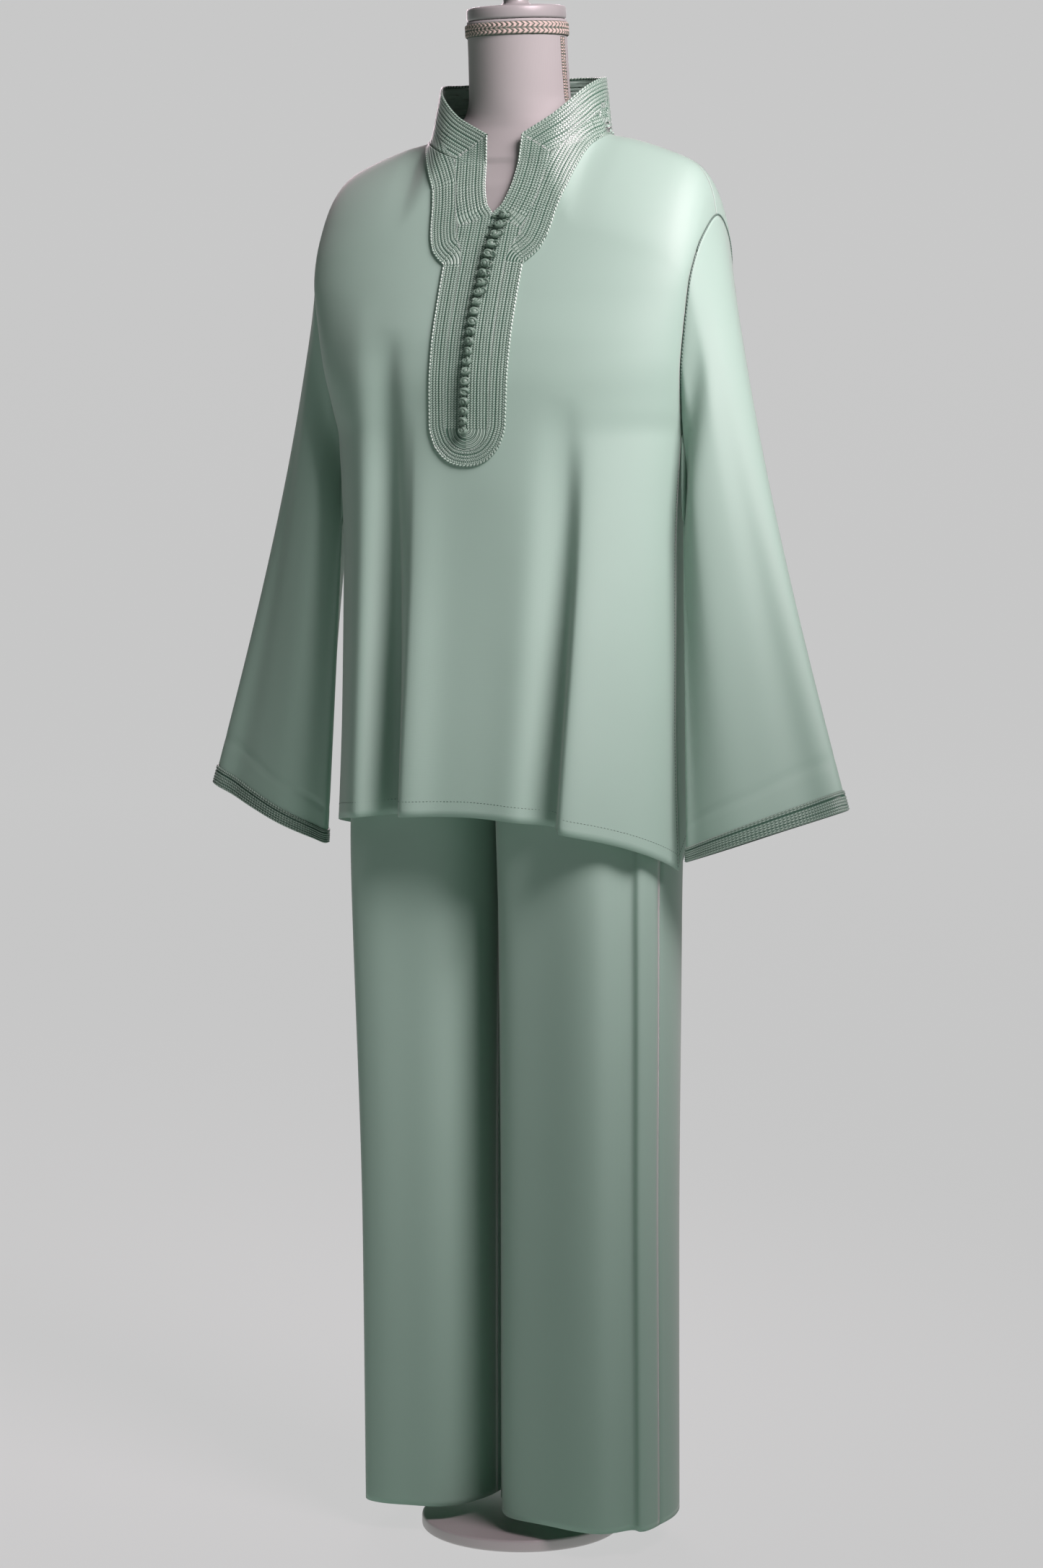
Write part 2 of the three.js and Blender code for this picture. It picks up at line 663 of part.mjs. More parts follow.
for (let i = 0; i < BUTTONS.count; i++) {
  const z = mix(BUTTONS.first, BUTTONS.last, i / (BUTTONS.count - 1));
  const x = lookup(BUTTON_LINE, "z", "x", z);
  const surface = new THREE.Vector3(x, tunicY("front", x, z), z);
  const above = new THREE.Vector3(x, tunicY("front", x, z + 4), z + 4).sub(surface);
  const beside = new THREE.Vector3(x + 4, tunicY("front", x + 4, z), z).sub(surface);
  const normal = beside.cross(above).normalize();
  const ray = new THREE.Raycaster(surface.addScaledVector(normal, 30), normal.clone().negate());
  const [seat] = ray.intersectObject(plastron);
  const knot = new THREE.IcosahedronGeometry(BUTTONS.radius, 1);
  const at = seat.point.addScaledVector(normal, BUTTONS.clear + BUTTONS.radius);
  knot.translate(at.x, at.y, at.z);
  add(`button_${String(i + 1).padStart(2, "0")}`, BRAID, knot);
}

for (const leg of ["left", "right"])
  for (const face of ["front", "back"]) {
    const middle = leg === "left" ? 70 : -95;
    const grid = legGrid(leg, face);
    const isOn = (column) => (p) => column.some((q) => p.distanceTo(new THREE.Vector3(...q)) < 0.01);
    const [centre, outer] = [isOn(grid[0]), isOn(grid.at(-1))];
    const seam = (p) => (outer(p) || (centre(p) && p.z < 729) ? "y" : centre(p) ? "x" : null);
    const inside = (p) => [middle, -5, p.z];
    add(`leg_${face}_${leg}`, CLOTH, wallGeometry([grid], { thickness: TROUSERS.wall, inside, seam }));
  }
const waist = WAISTBAND.clear + WAISTBAND.wall;
const waistGrid = shares(FORM.sides).map((turn) =>
  [WAISTBAND.low, WAISTBAND.high].map((z) => formPoint(turn % 1, z, waist)),
);
add("waistband", CLOTH, wallGeometry([waistGrid], { thickness: WAISTBAND.wall }));

add("form_body", CANVAS, formGeometry());
const ringGrid = shares(FORM.sides).map((turn) =>
  [1496, 1508].map((z) => formPoint(turn % 1, z, 2.6)),
);
add("neck_braid_ring", TRIM, wallGeometry([ringGrid], { thickness: 2.2 }));
for (const [name, middle] of [
  ["left", 0],
  ["right", 0.5],
]) {
  const strip = [-0.011, 0, 0.011].map((offset) =>
    [1436, 1465, 1494].map((z) => formPoint((middle + offset + 1) % 1, z, 2.2)),
  );
  add(`neck_braid_${name}`, TRIM, wallGeometry([strip], { thickness: 1.5 }));
}

const capProfile = [
  { r: 47, z: 0.3 },
  { r: 50, z: 3 },
  { r: 50, z: 11 },
  { r: 46, z: 14 },
  { r: 16, z: 16 },
  { r: 12.5, z: 22 },
  { r: 15, z: 28 },
  { r: 28, z: 34 },
  { r: 33.5, z: 47 },
  { r: 30, z: 61 },
  { r: 17, z: 72 },
  { r: 6, z: 75 },
];
const cap = turnedGeometry(capProfile, 32);
cap.rotateX(Math.atan(0.08));
cap.translate(0, -0.1 * (FORM.neckTop - 1400), FORM.neckTop);
add("neck_cap", PAINT, cap);

const { poleRadius, baseRadius, baseHeight, baseEdge } = STAND;
const poleProfile = [
  { r: poleRadius, z: baseHeight + 0.3 },
  { r: poleRadius, z: FORM.bottom - 0.3 },
];
add("pole", PAINT, turnedGeometry(poleProfile, 20));
const baseProfile = [
  { r: baseRadius - 1, z: 0 },
  { r: baseRadius, z: 1 },
  { r: baseRadius, z: baseHeight - baseEdge },
  { r: baseRadius - baseEdge, z: baseHeight },
];
add("base", PAINT, turnedGeometry(baseProfile, 40));

export default jabador;
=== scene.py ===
"""A mint jabador, tunic and trousers with braid trim, shown on a limbless dress form.

Sizes in the tables are millimetres in the part's own frame: +Z up, the front faces -Y
and the wearer's left is +X. Meshes are made in metres.
"""

import logging
import math
from dataclasses import dataclass, field
from enum import Enum
from typing import Callable, Iterable, Sequence

import bmesh
import bpy
import numpy as np
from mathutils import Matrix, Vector


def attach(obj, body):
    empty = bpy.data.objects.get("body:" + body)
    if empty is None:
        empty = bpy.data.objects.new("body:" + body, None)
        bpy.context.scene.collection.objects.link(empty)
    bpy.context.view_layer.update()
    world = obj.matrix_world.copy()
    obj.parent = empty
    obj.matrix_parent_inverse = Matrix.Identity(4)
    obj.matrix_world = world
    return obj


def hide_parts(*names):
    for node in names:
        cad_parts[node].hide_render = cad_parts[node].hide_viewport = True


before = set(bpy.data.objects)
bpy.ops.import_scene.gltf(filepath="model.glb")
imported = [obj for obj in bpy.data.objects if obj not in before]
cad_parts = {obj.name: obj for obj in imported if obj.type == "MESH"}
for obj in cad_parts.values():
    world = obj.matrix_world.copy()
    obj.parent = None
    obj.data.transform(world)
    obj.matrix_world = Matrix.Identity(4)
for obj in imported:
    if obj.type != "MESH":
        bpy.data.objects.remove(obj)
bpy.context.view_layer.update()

LOG = logging.getLogger("jabador")
MM = 0.001
WELD = 1e-6
Array = np.ndarray
Place = Callable[[Array, Array], Array]
Point = tuple[float, float, float]


class Face(Enum):
    """Which half of a garment a panel covers; the value is the sign of its y."""

    FRONT = -1
    BACK = 1


class Side(Enum):
    """The wearer's side; the value is the sign of its x."""

    LEFT = 1
    RIGHT = -1


class Table:
    """Columns of sizes that are read smoothly and without overshoot."""

    def __init__(self, key: str, columns: Sequence[str], rows: Iterable[Sequence[float]]):
        """Stores the rows.

        Args:
            key: name of the first column, in rising order.
            columns: names of the other columns.
            rows: one sequence of numbers a row.
        """
        data = np.array(list(rows), float)
        self.key = key
        self.at = data[:, 0]
        self.columns = {name: data[:, i + 1] for i, name in enumerate(columns)}
        self.slopes = {name: self._slopes(v) for name, v in self.columns.items()}

    def _slopes(self, values: Array) -> Array:
        """Works out slopes that keep each span between its two ends.

        Args:
            values: one column of the table.

        Returns:
            The slope at each row.
        """
        step = np.diff(values) / np.diff(self.at)
        before, after = step[:-1], step[1:]
        total = np.where(np.abs(before + after) < 1e-12, 1.0, before + after)
        inner = np.where(before * after <= 0, 0.0, 2 * before * after / total)
        return np.concatenate([step[:1], inner, step[-1:]])

    def __call__(self, name: str, at: Array) -> Array:
        """Returns the column's value at each place.

        Args:
            name: column to read.
            at: places on the key column.

        Returns:
            The smooth value, held at the table's ends.
        """
        at = np.clip(np.asarray(at, float), self.at[0], self.at[-1])
        i = np.clip(np.searchsorted(self.at, at, side="right") - 1, 0, len(self.at) - 2)
        span = self.at[i + 1] - self.at[i]
        t = (at - self.at[i]) / span
        values, slopes = self.columns[name], self.slopes[name]
        return (
            values[i] * (1 + 2 * t) * (1 - t) ** 2
            + values[i + 1] * t * t * (3 - 2 * t)
            + slopes[i] * span * t * (1 - t) ** 2
            - slopes[i + 1] * span * t * t * (1 - t)
        )


def bump(distance: Array, width: float) -> Array:
    """Returns a bell curve of height 1.

    Args:
        distance: distance from its middle.
        width: distance at which it has dropped to 1/e.

    Returns:
        Values from 0 to 1.
    """
    return np.exp(-((distance / width) ** 2))


def mix(a: Array, b: Array, share: Array) -> Array:
    """Returns a value a share of the way from a to b."""
    return a + (b - a) * share


@dataclass(frozen=True)
class Fold:
    """One fold of hanging cloth.

    Its crest lies at a place across the cloth, stands out by a height, and drops away
    over its width before the crest and over a second width after it. It starts at a
    height and leans sideways between there and the hem.
    """

    at: float
    width: float
    out: float
    start: float = 0.0
    lean: float = 0.0
    after: float = 0.0

    def height(self, place: Array, crest: Array | None = None) -> Array:
        """Works out how far the fold stands out.

        Args:
            place: places across the cloth.
            crest: where the crest lies, if it has moved from its usual place.

        Returns:
            The height at each place.
        """
        crest = self.at if crest is None else crest
        reach = np.where(place < crest, self.width, self.after or self.width)
        return self.out * bump(place - crest, reach)


def stack(*columns: Array) -> Array:
    """Returns points from their x, y and z, broadcast to one shape."""
    return np.stack(np.broadcast_arrays(*columns), axis=-1)


@dataclass
class TunicShape:
    """The tunic's body as two surfaces over width and height, with the sizes that set them."""

    wall: float = 1.2
    seam_gap: float = 0.0
    armhole_top: float = 1310.0
    underarm: float = 1093.0
    hem_front: float = 722.0
    hem_left: float = 668.0
    hem_right: float = 700.0
    shoulder_round: float = 100.0
    section_power: float = 2.6
    slit_bottom: float = 1310.0
    neck_half: float = 98.0
    neck_level: float = 1380.0
    column_power: float = 0.9
    drop_power: float = 1.8
    hem_power_front: float = 1.5
    hem_power_back: float = 5.0
    fold_foot: float = 700.0
    calm_near_side: float = 6.0
    side_line: Table = field(
        default_factory=lambda: Table(
            "z",
            ("x", "front", "back"),
            (
                (660, 185, -25, -25),
                (820, 181, -25, -25),
                (970, 181, -25, -25),
                (1093, 187, -25, -25),
                (1120, 190, -35, 4),
                (1170, 197, -50, 36),
                (1234, 206, -54, 49),
                (1275, 211, -48, 46),
                (1310, 214, -42, 42),
                (1420, 214, -42, 42),
            ),
        )
    )
    depth: Table = field(
        default_factory=lambda: Table(
            "z",
            ("front", "back"),
            (
                (660, 141, 138),
                (770, 134, 131),
                (870, 126, 126),
                (970, 121, 117),
                (1064, 120, 105),
                (1140, 121, 102),
                (1180, 117, 102),
                (1230, 105, 101),
                (1280, 91, 96),
                (1330, 76, 86),
                (1365, 64, 74),
                (1420, 50, 60),
            ),
        )
    )
    shoulder: Table = field(
        default_factory=lambda: Table(
            "x",
            ("z",),
            (
                (0, 1500),
                (50, 1470),
                (75, 1425),
                (98, 1395),
                (125, 1388.5),
                (170, 1373),
                (190, 1363),
                (202, 1350),
                (210, 1331),
                (214, 1310),
            ),
        )
    )
    neckline: Table = field(
        default_factory=lambda: Table(
            "x",
            ("front", "back"),
            (
                (0, 1363, 1402),
                (22, 1363, 1402),
                (40, 1367, 1402),
                (60, 1375, 1400),
                (85, 1388, 1396),
                (98, 1395, 1395),
            ),
        )
    )
    slit: Table = field(
        default_factory=lambda: Table(
            "z",
            ("centre", "half"),
            (
                (1064, 0, 0),
                (1200, 3, 0),
                (1310, 9, 0),
                (1322, 10, 9),
                (1346, 11, 16),
                (1395, 12, 21),
            ),
        )
    )
    front_folds: tuple[Fold, ...] = (
        Fold(-124, 24, 12, 1240, -6, after=18),
        Fold(-88, 18, -29, 1200, -4, after=13),
        Fold(-60, 9, 12, 1120, 4, after=26),
        Fold(35, 40, -5, 1040, 0),
        Fold(84, 20, -24, 1130, 18, after=14),
        Fold(108, 10, 14, 1090, 14, after=30),
    )
    back_folds: tuple[Fold, ...] = (
        Fold(-140, 24, 12, 1100, -4),
        Fold(-92, 22, -18, 1180, -6),
        Fold(-38, 26, 12, 1160, -3),
        Fold(18, 24, -11, 1060, 2),
        Fold(72, 26, 12, 1160, 4),
        Fold(126, 22, -10, 1120, 5),
    )

    def y(self, face: Face, x: Array, z: Array, gap: float | None = None) -> Array:
        """Returns the surface's y at a width and a height.

        Args:
            face: the front or the back.
            x: widths from the centre.
            z: heights.
            gap: room left between the two halves at their seams.

        Returns:
            The y of each point.
        """
        gap = self.seam_gap if gap is None else gap
        sign, name = face.value, face.name.lower()
        edge = self.side_line(name, z)
        depth = sign * self.depth(name, z)
        across = np.clip(np.abs(x) / self.side_line("x", z), 0, 1)
        section = np.sqrt(1 - across**self.section_power)
        below = np.clip((self.shoulder("z", np.abs(x)) - z) / self.shoulder_round, 0, 1)
        curve = np.sqrt(1 - (1 - below) ** 2)
        fold = np.zeros(np.broadcast(x, z).shape)
        for f in self.front_folds if face is Face.FRONT else self.back_folds:
            grown = np.clip((f.start - z) / (f.start - self.fold_foot), 0, 1)
            crest = f.at + f.lean * (1 - grown)
            fold = fold + np.sin(grown * math.pi / 2) * f.height(x, crest)
        calm = np.minimum(1, self.calm_near_side * (1 - across))
        return (edge + (depth - edge) * section) * curve + sign * (fold * calm + gap / 2)

    def across(self, share: Array) -> Array:
        """Returns how far out a column lies, from 0 at the centre to 1 at the side."""
        return np.sin(np.asarray(share, float) * math.pi / 2) ** self.column_power

    def x(self, face: Face, side: int, share: Array, z: Array) -> Array:
        """Returns the width of a column at a height.

        Args:
            face: the front or the back.
            side: -1 or 1.
            share: 0 at the centre or the slit, 1 at the side.
            z: heights.

        Returns:
            The x of each point.
        """
        across = self.across(share)
        width = self.side_line("x", z)
        if face is Face.BACK:
            return side * width * across
        centre = self.slit("centre", z)
        half = np.where(z > self.slit_bottom, self.slit("half", z), 0.0)
        return centre * (1 - across) + side * (half + (width - half) * across)

    def top(self, face: Face, side: int, share: Array) -> Array:
        """Works out the height where a column starts, on the neckline or the shoulder.

        Args:
            face: the front or the back.
            side: -1 or 1.
            share: 0 at the centre or the slit, 1 at the side.

        Returns:
            The height of each column's upper end.
        """
        z = np.full(np.shape(share), self.neck_level)
        for _ in range(6):
            x = self.x(face, side, share, z)
            centre = self.slit("centre", z) if face is Face.FRONT else 0.0
            from_slit = np.abs(x - centre * (1 - self.across(share)))
            neck = self.neckline(face.name.lower(), from_slit)
            on_shoulder = np.abs(x) >= self.neck_half
            z = np.where(on_shoulder, self.shoulder("z", np.abs(x)), neck)
        return z

    def hem(self, face: Face, side: int, share: Array) -> Array:
        """Works out the hem's height.

        Args:
            face: the front or the back.
            side: -1 or 1.
            share: 0 at the centre, 1 at the side.

        Returns:
            The height of each column's lower end.
        """
        low = self.hem_left if side > 0 else self.hem_right
        power = self.hem_power_front if face is Face.FRONT else self.hem_power_back
        return self.hem_front - (self.hem_front - low) * share**power

    def point(self, face: Face, side: int, share: Array, down: Array) -> Array:
        """Works out points of a panel.

        Args:
            face: the front or the back.
            side: -1 or 1.
            share: 0 at the centre or the slit, 1 at the side.
            down: 0 at the top, 1 at the hem.

        Returns:
            The points in millimetres.
        """
        share = np.asarray(share, float)
        z = mix(self.top(face, side, share), self.hem(face, side, share), down**self.drop_power)
        x = self.x(face, side, share, z)
        return stack(x, self.y(face, x, z), z)

    def neckline_share(self, face: Face, away: Array) -> Array:
        """Works out the columns that start at distances from the neckline's middle.

        Args:
            face: the front or the back.
            away: distances from the middle.

        Returns:
            The share of each column, 0 at the centre or the slit.
        """
        half = float(self.slit("half", self.neck_level)) if face is Face.FRONT else 0.0
        width = float(self.side_line("x", self.neck_level))
        across = np.clip((away - half) / (width - half), 0, 1)
        return np.arcsin(across ** (1 / self.column_power)) * 2 / math.pi

    def normal(self, face: Face, x: Array, z: Array) -> Array:
        """Works out which way the surface faces.

        Args:
            face: the front or the back.
            x: widths from the centre.
            z: heights.

        Returns:
            Unit vectors that point out of the tunic.
        """
        step = 2.0
        slope_x = (self.y(face, x + step, z) - self.y(face, x - step, z)) / (2 * step)
        slope_z = (self.y(face, x, z + step) - self.y(face, x, z - step)) / (2 * step)
        normal = stack(-slope_x, np.ones_like(slope_x), -slope_z) * face.value
        return normal / np.linalg.norm(normal, axis=-1, keepdims=True)


def new_object(name: str, bm: bmesh.types.BMesh) -> bpy.types.Object:
    """Makes an object in the scene and frees its bmesh.

    Args:
        name: the object's name.
        bm: the finished mesh.

    Returns:
        The object, at the origin.
    """
    mesh = bpy.data.meshes.new(name)
    bm.to_mesh(mesh)
    bm.free()
    made = bpy.data.objects.new(name, mesh)
    bpy.context.scene.collection.objects.link(made)
    return made


def face_outwards(
    bm: bmesh.types.BMesh, faces: list[bmesh.types.BMFace], inside: Callable[[Vector], Point]
) -> None:
    """Turns the faces round if they look towards the inside on the whole.

    Args:
        bm: the mesh.
        faces: one patch of it.
        inside: gives the point that a face looks away from.
    """
    total = 0.0
    for f in faces:
        middle = f.calc_center_median()
        total += f.calc_area() * f.normal.dot(middle - Vector(inside(middle)))
    if total < 0:
        bmesh.ops.reverse_faces(bm, faces=faces)


def upright(point: Vector) -> Point:
    """Returns the point of the part's own axis at the same height."""
    return (0.0, 0.0, point.z)


def add_grid(
    bm: bmesh.types.BMesh,
    columns: int,
    rows: int,
    place: Place,
    inside: Callable[[Vector], Point] = upright,
    uv_size: tuple[float, float] = (1.0, 1.0),
) -> None:
    """Adds one patch of cloth to a bmesh.

    Args:
        bm: the mesh to add to.
        columns: number of faces across.
        rows: number of faces along.
        place: gives points in millimetres from u and v, both 0 to 1.
        inside: gives the point that a face looks away from.
        uv_size: the cloth's size in metres, which scales its UV map.
    """
    layer = bm.loops.layers.uv.verify()
    grid = bmesh.ops.create_grid(bm, x_segments=columns, y_segments=rows, size=0.5)
    verts = grid["verts"]
    flat = np.array([v.co[:] for v in verts]) + 0.5
    u, v = flat[:, 0], flat[:, 1]
    points = place(u, v) * MM
    own = set(verts)
    faces = [f for f in bm.faces if f.verts[0] in own]
    lookup = {vert: (a, b) for vert, a, b in zip(verts, u, v)}
    for f in faces:
        f.smooth = True
        for loop in f.loops:
            a, b = lookup[loop.vert]
            loop[layer].uv = (a * uv_size[0], b * uv_size[1])
    for vert, point in zip(verts, points):
        vert.co = point
    bm.normal_update()
    face_outwards(bm, faces, inside)


def map_cord(
    bm: bmesh.types.BMesh,
    at: Callable[[float, float], tuple[float, float]],
    known: Sequence[bmesh.types.BMFace] | set[bmesh.types.BMFace] = (),
) -> None:
    """Writes the cord map, which holds the run and the row of each corner.

    Args:
        bm: the mesh.
        at: gives the run and the row from u and v of the first map.
        known: faces that keep the cord map they have.
    """
    cord = bm.loops.layers.uv.get("cord") or bm.loops.layers.uv.new("cord")
    first = bm.loops.layers.uv[0]
    for f in bm.faces:
        if f in known:
            continue
        for loop in f.loops:
            loop[cord].uv = at(*loop[first].uv)


def thicken(obj: bpy.types.Object, thickness: float) -> None:
    """Gives a sheet its thickness, inwards from its outer face.

    Args:
        obj: the sheet.
        thickness: its wall in millimetres.
    """
    shell = obj.modifiers.new("Thickness", "SOLIDIFY")
    shell.thickness = thickness * MM
    shell.offset = -1.0
    shell.use_even_offset = False


class Weave(Enum):
    """What covers a surface at close range."""

    CREPE = "crepe"
    CORD = "cord"
    CANVAS = "canvas"
    PAINT = "paint"


@dataclass(frozen=True)
class Finish:
    """One finish, with the name of its material slot."""

    name: str
    slot: str
    colour: Point
    shade: Point
    roughness: float
    weave: Weave
    sheen: float = 0.0
    sheen_tint: Point = (1.0, 1.0, 1.0)
    sheen_roughness: float = 0.35
    specular: float = 0.5
    through: float = 0.0
    through_tint: Point = (0.25, 0.78, 0.52)
    ior: float = 1.5
    scale: float = 1.0
    mottle: float = 14.0
    # painted shade in the cords' grooves: its share of the shade colour, and the height over which
    # it fades out
    groove_share: Point = (0.1, 0.22, 0.17)
    groove_reach: float = 0.6

    def material(self) -> bpy.types.Material:
        """Builds the node material.

        Returns:
            A material that reads only the object's own coordinates and attributes.
        """
        made = bpy.data.materials.new(self.name)
        made.use_nodes = True
        nodes, links = made.node_tree.nodes, made.node_tree.links
        shader = nodes["Principled BSDF"]
        shader.inputs["Roughness"].default_value = self.roughness
        shader.inputs["Specular IOR Level"].default_value = self.specular
        shader.inputs["Sheen Weight"].default_value = self.sheen
        shader.inputs["Sheen Roughness"].default_value = self.sheen_roughness
        shader.inputs["Sheen Tint"].default_value = (*self.sheen_tint, 1.0)
        shader.inputs["IOR"].default_value = self.ior
        coordinates = nodes.new("ShaderNodeTexCoord")
        mottle = nodes.new("ShaderNodeTexNoise")
        mottle.inputs["Scale"].default_value = self.mottle * self.scale
        mottle.inputs["Detail"].default_value = 4.0
        links.new(coordinates.outputs["Object"], mottle.inputs["Vector"])
        tone = nodes.new("ShaderNodeMix")
        tone.data_type = "RGBA"
        tone.inputs["A"].default_value = (*self.colour, 1.0)
        tone.inputs["B"].default_value = (*self.shade, 1.0)
        links.new(mottle.outputs["Fac"], tone.inputs["Factor"])
        colour = tone.outputs["Result"]
        height = self._relief(nodes, links, coordinates)
        if self.weave is Weave.CORD:
            # corded finishes get painted shade in the grooves between their strands
            colour = self._darken(nodes, links, colour, height)
        links.new(colour, shader.inputs["Base Color"])
        relief = nodes.new("ShaderNodeBump")
        relief.inputs["Strength"].default_value = 0.5
        relief.inputs["Distance"].default_value = self._depth()
        links.new(height, relief.inputs["Height"])
        links.new(relief.outputs["Normal"], shader.inputs["Normal"])
        if self.through > 0:
            self._let_through(nodes, links, shader)
        return made

    def _depth(self) -> float:
        """Returns the relief's depth in metres."""
        depths = {Weave.CREPE: 0.00006, Weave.CORD: 0.0005, Weave.CANVAS: 0.00008}
        return depths.get(self.weave, 0.00005)

    def _relief(
        self, nodes: bpy.types.Nodes, links: bpy.types.NodeLinks, coordinates: bpy.types.Node
    ) -> bpy.types.NodeSocket:
        """Builds the height of the weave.

        Args:
            nodes: the material's nodes.
            links: the material's links.
            coordinates: the node that gives the object's own coordinates.

        Returns:
            The socket that holds the height.
        """
        if self.weave is Weave.PAINT:
            grain = nodes.new("ShaderNodeTexNoise")
            grain.inputs["Scale"].default_value = 60.0
            links.new(coordinates.outputs["Object"], grain.inputs["Vector"])
            return grain.outputs["Fac"]
        if self.weave is Weave.CORD:
            return self._plait(nodes, links)
        source = coordinates.outputs["UV" if self.weave is Weave.CREPE else "Object"]
        bands = 400.0 if self.weave is Weave.CREPE else 450.0
        waves = []
        for direction in ("X", "Y" if self.weave is Weave.CREPE else "Z"):
            wave = nodes.new("ShaderNodeTexWave")
            wave.bands_direction = direction
            wave.inputs["Scale"].default_value = bands
            wave.inputs["Distortion"].default_value = 1.2
            wave.inputs["Detail"].default_value = 1.0
            links.new(source, wave.inputs["Vector"])
            waves.append(wave.outputs["Fac"])
        both = nodes.new("ShaderNodeMath")
        both.operation = "MULTIPLY"
        links.new(waves[0], both.inputs[0])
        links.new(waves[1], both.inputs[1])
        return both.outputs["Value"]

    def _plait(
        self, nodes: bpy.types.Nodes, links: bpy.types.NodeLinks
    ) -> bpy.types.NodeSocket:
        """Builds the herringbone of a plaited cord from the run and row of each point.

        Args:
            nodes: the material's nodes.
            links: the material's links.

        Returns:
            The socket that holds the height.
        """
        place = nodes.new("ShaderNodeUVMap")
        place.uv_map = "cord"
        split = nodes.new("ShaderNodeSeparateXYZ")
        links.new(place.outputs["UV"], split.inputs["Vector"])

        def math_node(
            operation: str, *values: float | bpy.types.NodeSocket
        ) -> bpy.types.NodeSocket:
            """Adds one step of arithmetic on numbers and sockets.

            Args:
                operation: the node's operation.
                values: its inputs, in order.

            Returns:
                The socket that holds the result.
            """
            node = nodes.new("ShaderNodeMath")
            node.operation = operation
            for socket, value in zip(node.inputs, values):
                if isinstance(value, (int, float)):
                    socket.default_value = value
                else:
                    links.new(value, socket)
            return node.outputs["Value"]

        row = split.outputs["Y"]
        within = math_node("FRACT", row)
        off_centre = math_node("ABSOLUTE", math_node("SUBTRACT", within, 0.5))
        slant = math_node("MULTIPLY_ADD", off_centre, 1.5, split.outputs["X"])
        strand = math_node("SINE", math_node("MULTIPLY", slant, 2 * math.pi))
        strand = math_node("MULTIPLY_ADD", strand, 0.5, 0.5)
        groove = math_node("SMOOTH_MIN", math_node("SUBTRACT", 0.5, off_centre), 0.2, 0.1)
        cord = math_node("MULTIPLY", math_node("MULTIPLY", groove, 5.0), strand)
        third = math_node("FRACT", math_node("MULTIPLY_ADD", row, 1 / 3, 0.5))
        from_third = math_node("ABSOLUTE", math_node("SUBTRACT", third, 0.5))
        thirds = math_node("MINIMUM", math_node("MULTIPLY", from_third, 9.0), 1.0)
        return math_node("MULTIPLY", cord, thirds)

    def _darken(
        self,
        nodes: bpy.types.Nodes,
        links: bpy.types.NodeLinks,
        colour: bpy.types.NodeSocket,
        height: bpy.types.NodeSocket,
    ) -> bpy.types.NodeSocket:
        """Paints shade into the grooves between strands: a darker colour where the plait's height is
        low.

        Args:
            nodes: the material's nodes.
            links: the material's links.
            colour: the socket that holds the strands' colour.
            height: the socket that holds the height.

        Returns:
            The socket that holds both colours.
        """
        # the grooves' dark colour is painted shade, mixed in where the plait is low
        deep = nodes.new("ShaderNodeMix")
        deep.data_type = "RGBA"
        groove = (tone * share for tone, share in zip(self.shade, self.groove_share))
        deep.inputs["A"].default_value = (*groove, 1.0)
        ramp = nodes.new("ShaderNodeMapRange")
        ramp.inputs["From Max"].default_value = self.groove_reach
        links.new(height, ramp.inputs["Value"])
        links.new(ramp.outputs["Result"], deep.inputs["Factor"])
        links.new(colour, deep.inputs["B"])
        return deep.outputs["Result"]

    def _let_through(
        self, nodes: bpy.types.Nodes, links: bpy.types.NodeLinks, shader: bpy.types.Node
    ) -> None:
        """Lets some light through the cloth.

        Args:
            nodes: the material's nodes.
            links: the material's links.
            shader: the node of the cloth's face.
        """
        glow = nodes.new("ShaderNodeBsdfTranslucent")
        glow.inputs["Color"].default_value = (*self.through_tint, 1.0)
        blend = nodes.new("ShaderNodeMixShader")
        blend.inputs["Fac"].default_value = self.through
        links.new(shader.outputs["BSDF"], blend.inputs[1])
        links.new(glow.outputs["BSDF"], blend.inputs[2])
        links.new(blend.outputs["Shader"], nodes["Material Output"].inputs["Surface"])


MINT = Finish(
    "mint crepe", "mint_cloth", (0.33, 0.50, 0.41), (0.315, 0.48, 0.39), 0.6,
    Weave.CREPE, sheen=0.5, sheen_tint=(1.0, 0.9, 0.92), specular=0.5, through=0.2, ior=1.6,
)
BRAID = Finish(
    "mint satin braid", "mint_braid", (0.34, 0.47, 0.385), (0.27, 0.40, 0.32), 0.32,
    Weave.CORD, sheen=0.2, specular=0.7, scale=4.0,
)
# same cord as the braid, coloured much darker: painted shade of the tightly knotted cords and their
# loops
SHADED_KNOT = Finish(
    "mint knots", "mint_braid", (0.13, 0.22, 0.165), (0.08, 0.14, 0.10), 0.5,
    Weave.CREPE, specular=0.5, scale=6.0,
)
SEAM = Finish(
    "seam cord", "mint_braid", (0.15, 0.24, 0.19), (0.11, 0.19, 0.15), 0.5,
    Weave.CORD, scale=6.0,
)
CANVAS = Finish(
    "form cover", "form_canvas", (0.28, 0.30, 0.28), (0.27, 0.285, 0.265), 0.9,
    Weave.CANVAS, sheen=0.2,
)
GIMP = Finish(
    "neck gimp", "neck_trim", (0.46, 0.40, 0.34), (0.38, 0.33, 0.28), 0.7, Weave.CORD,
)
CAP = Finish("cap paint", "cap_paint", (0.27, 0.285, 0.27), (0.26, 0.275, 0.26), 0.35, Weave.PAINT)
METAL = Finish(
    "stand paint", "stand_metal", (0.60, 0.58, 0.57), (0.58, 0.56, 0.55), 0.4, Weave.PAINT
)


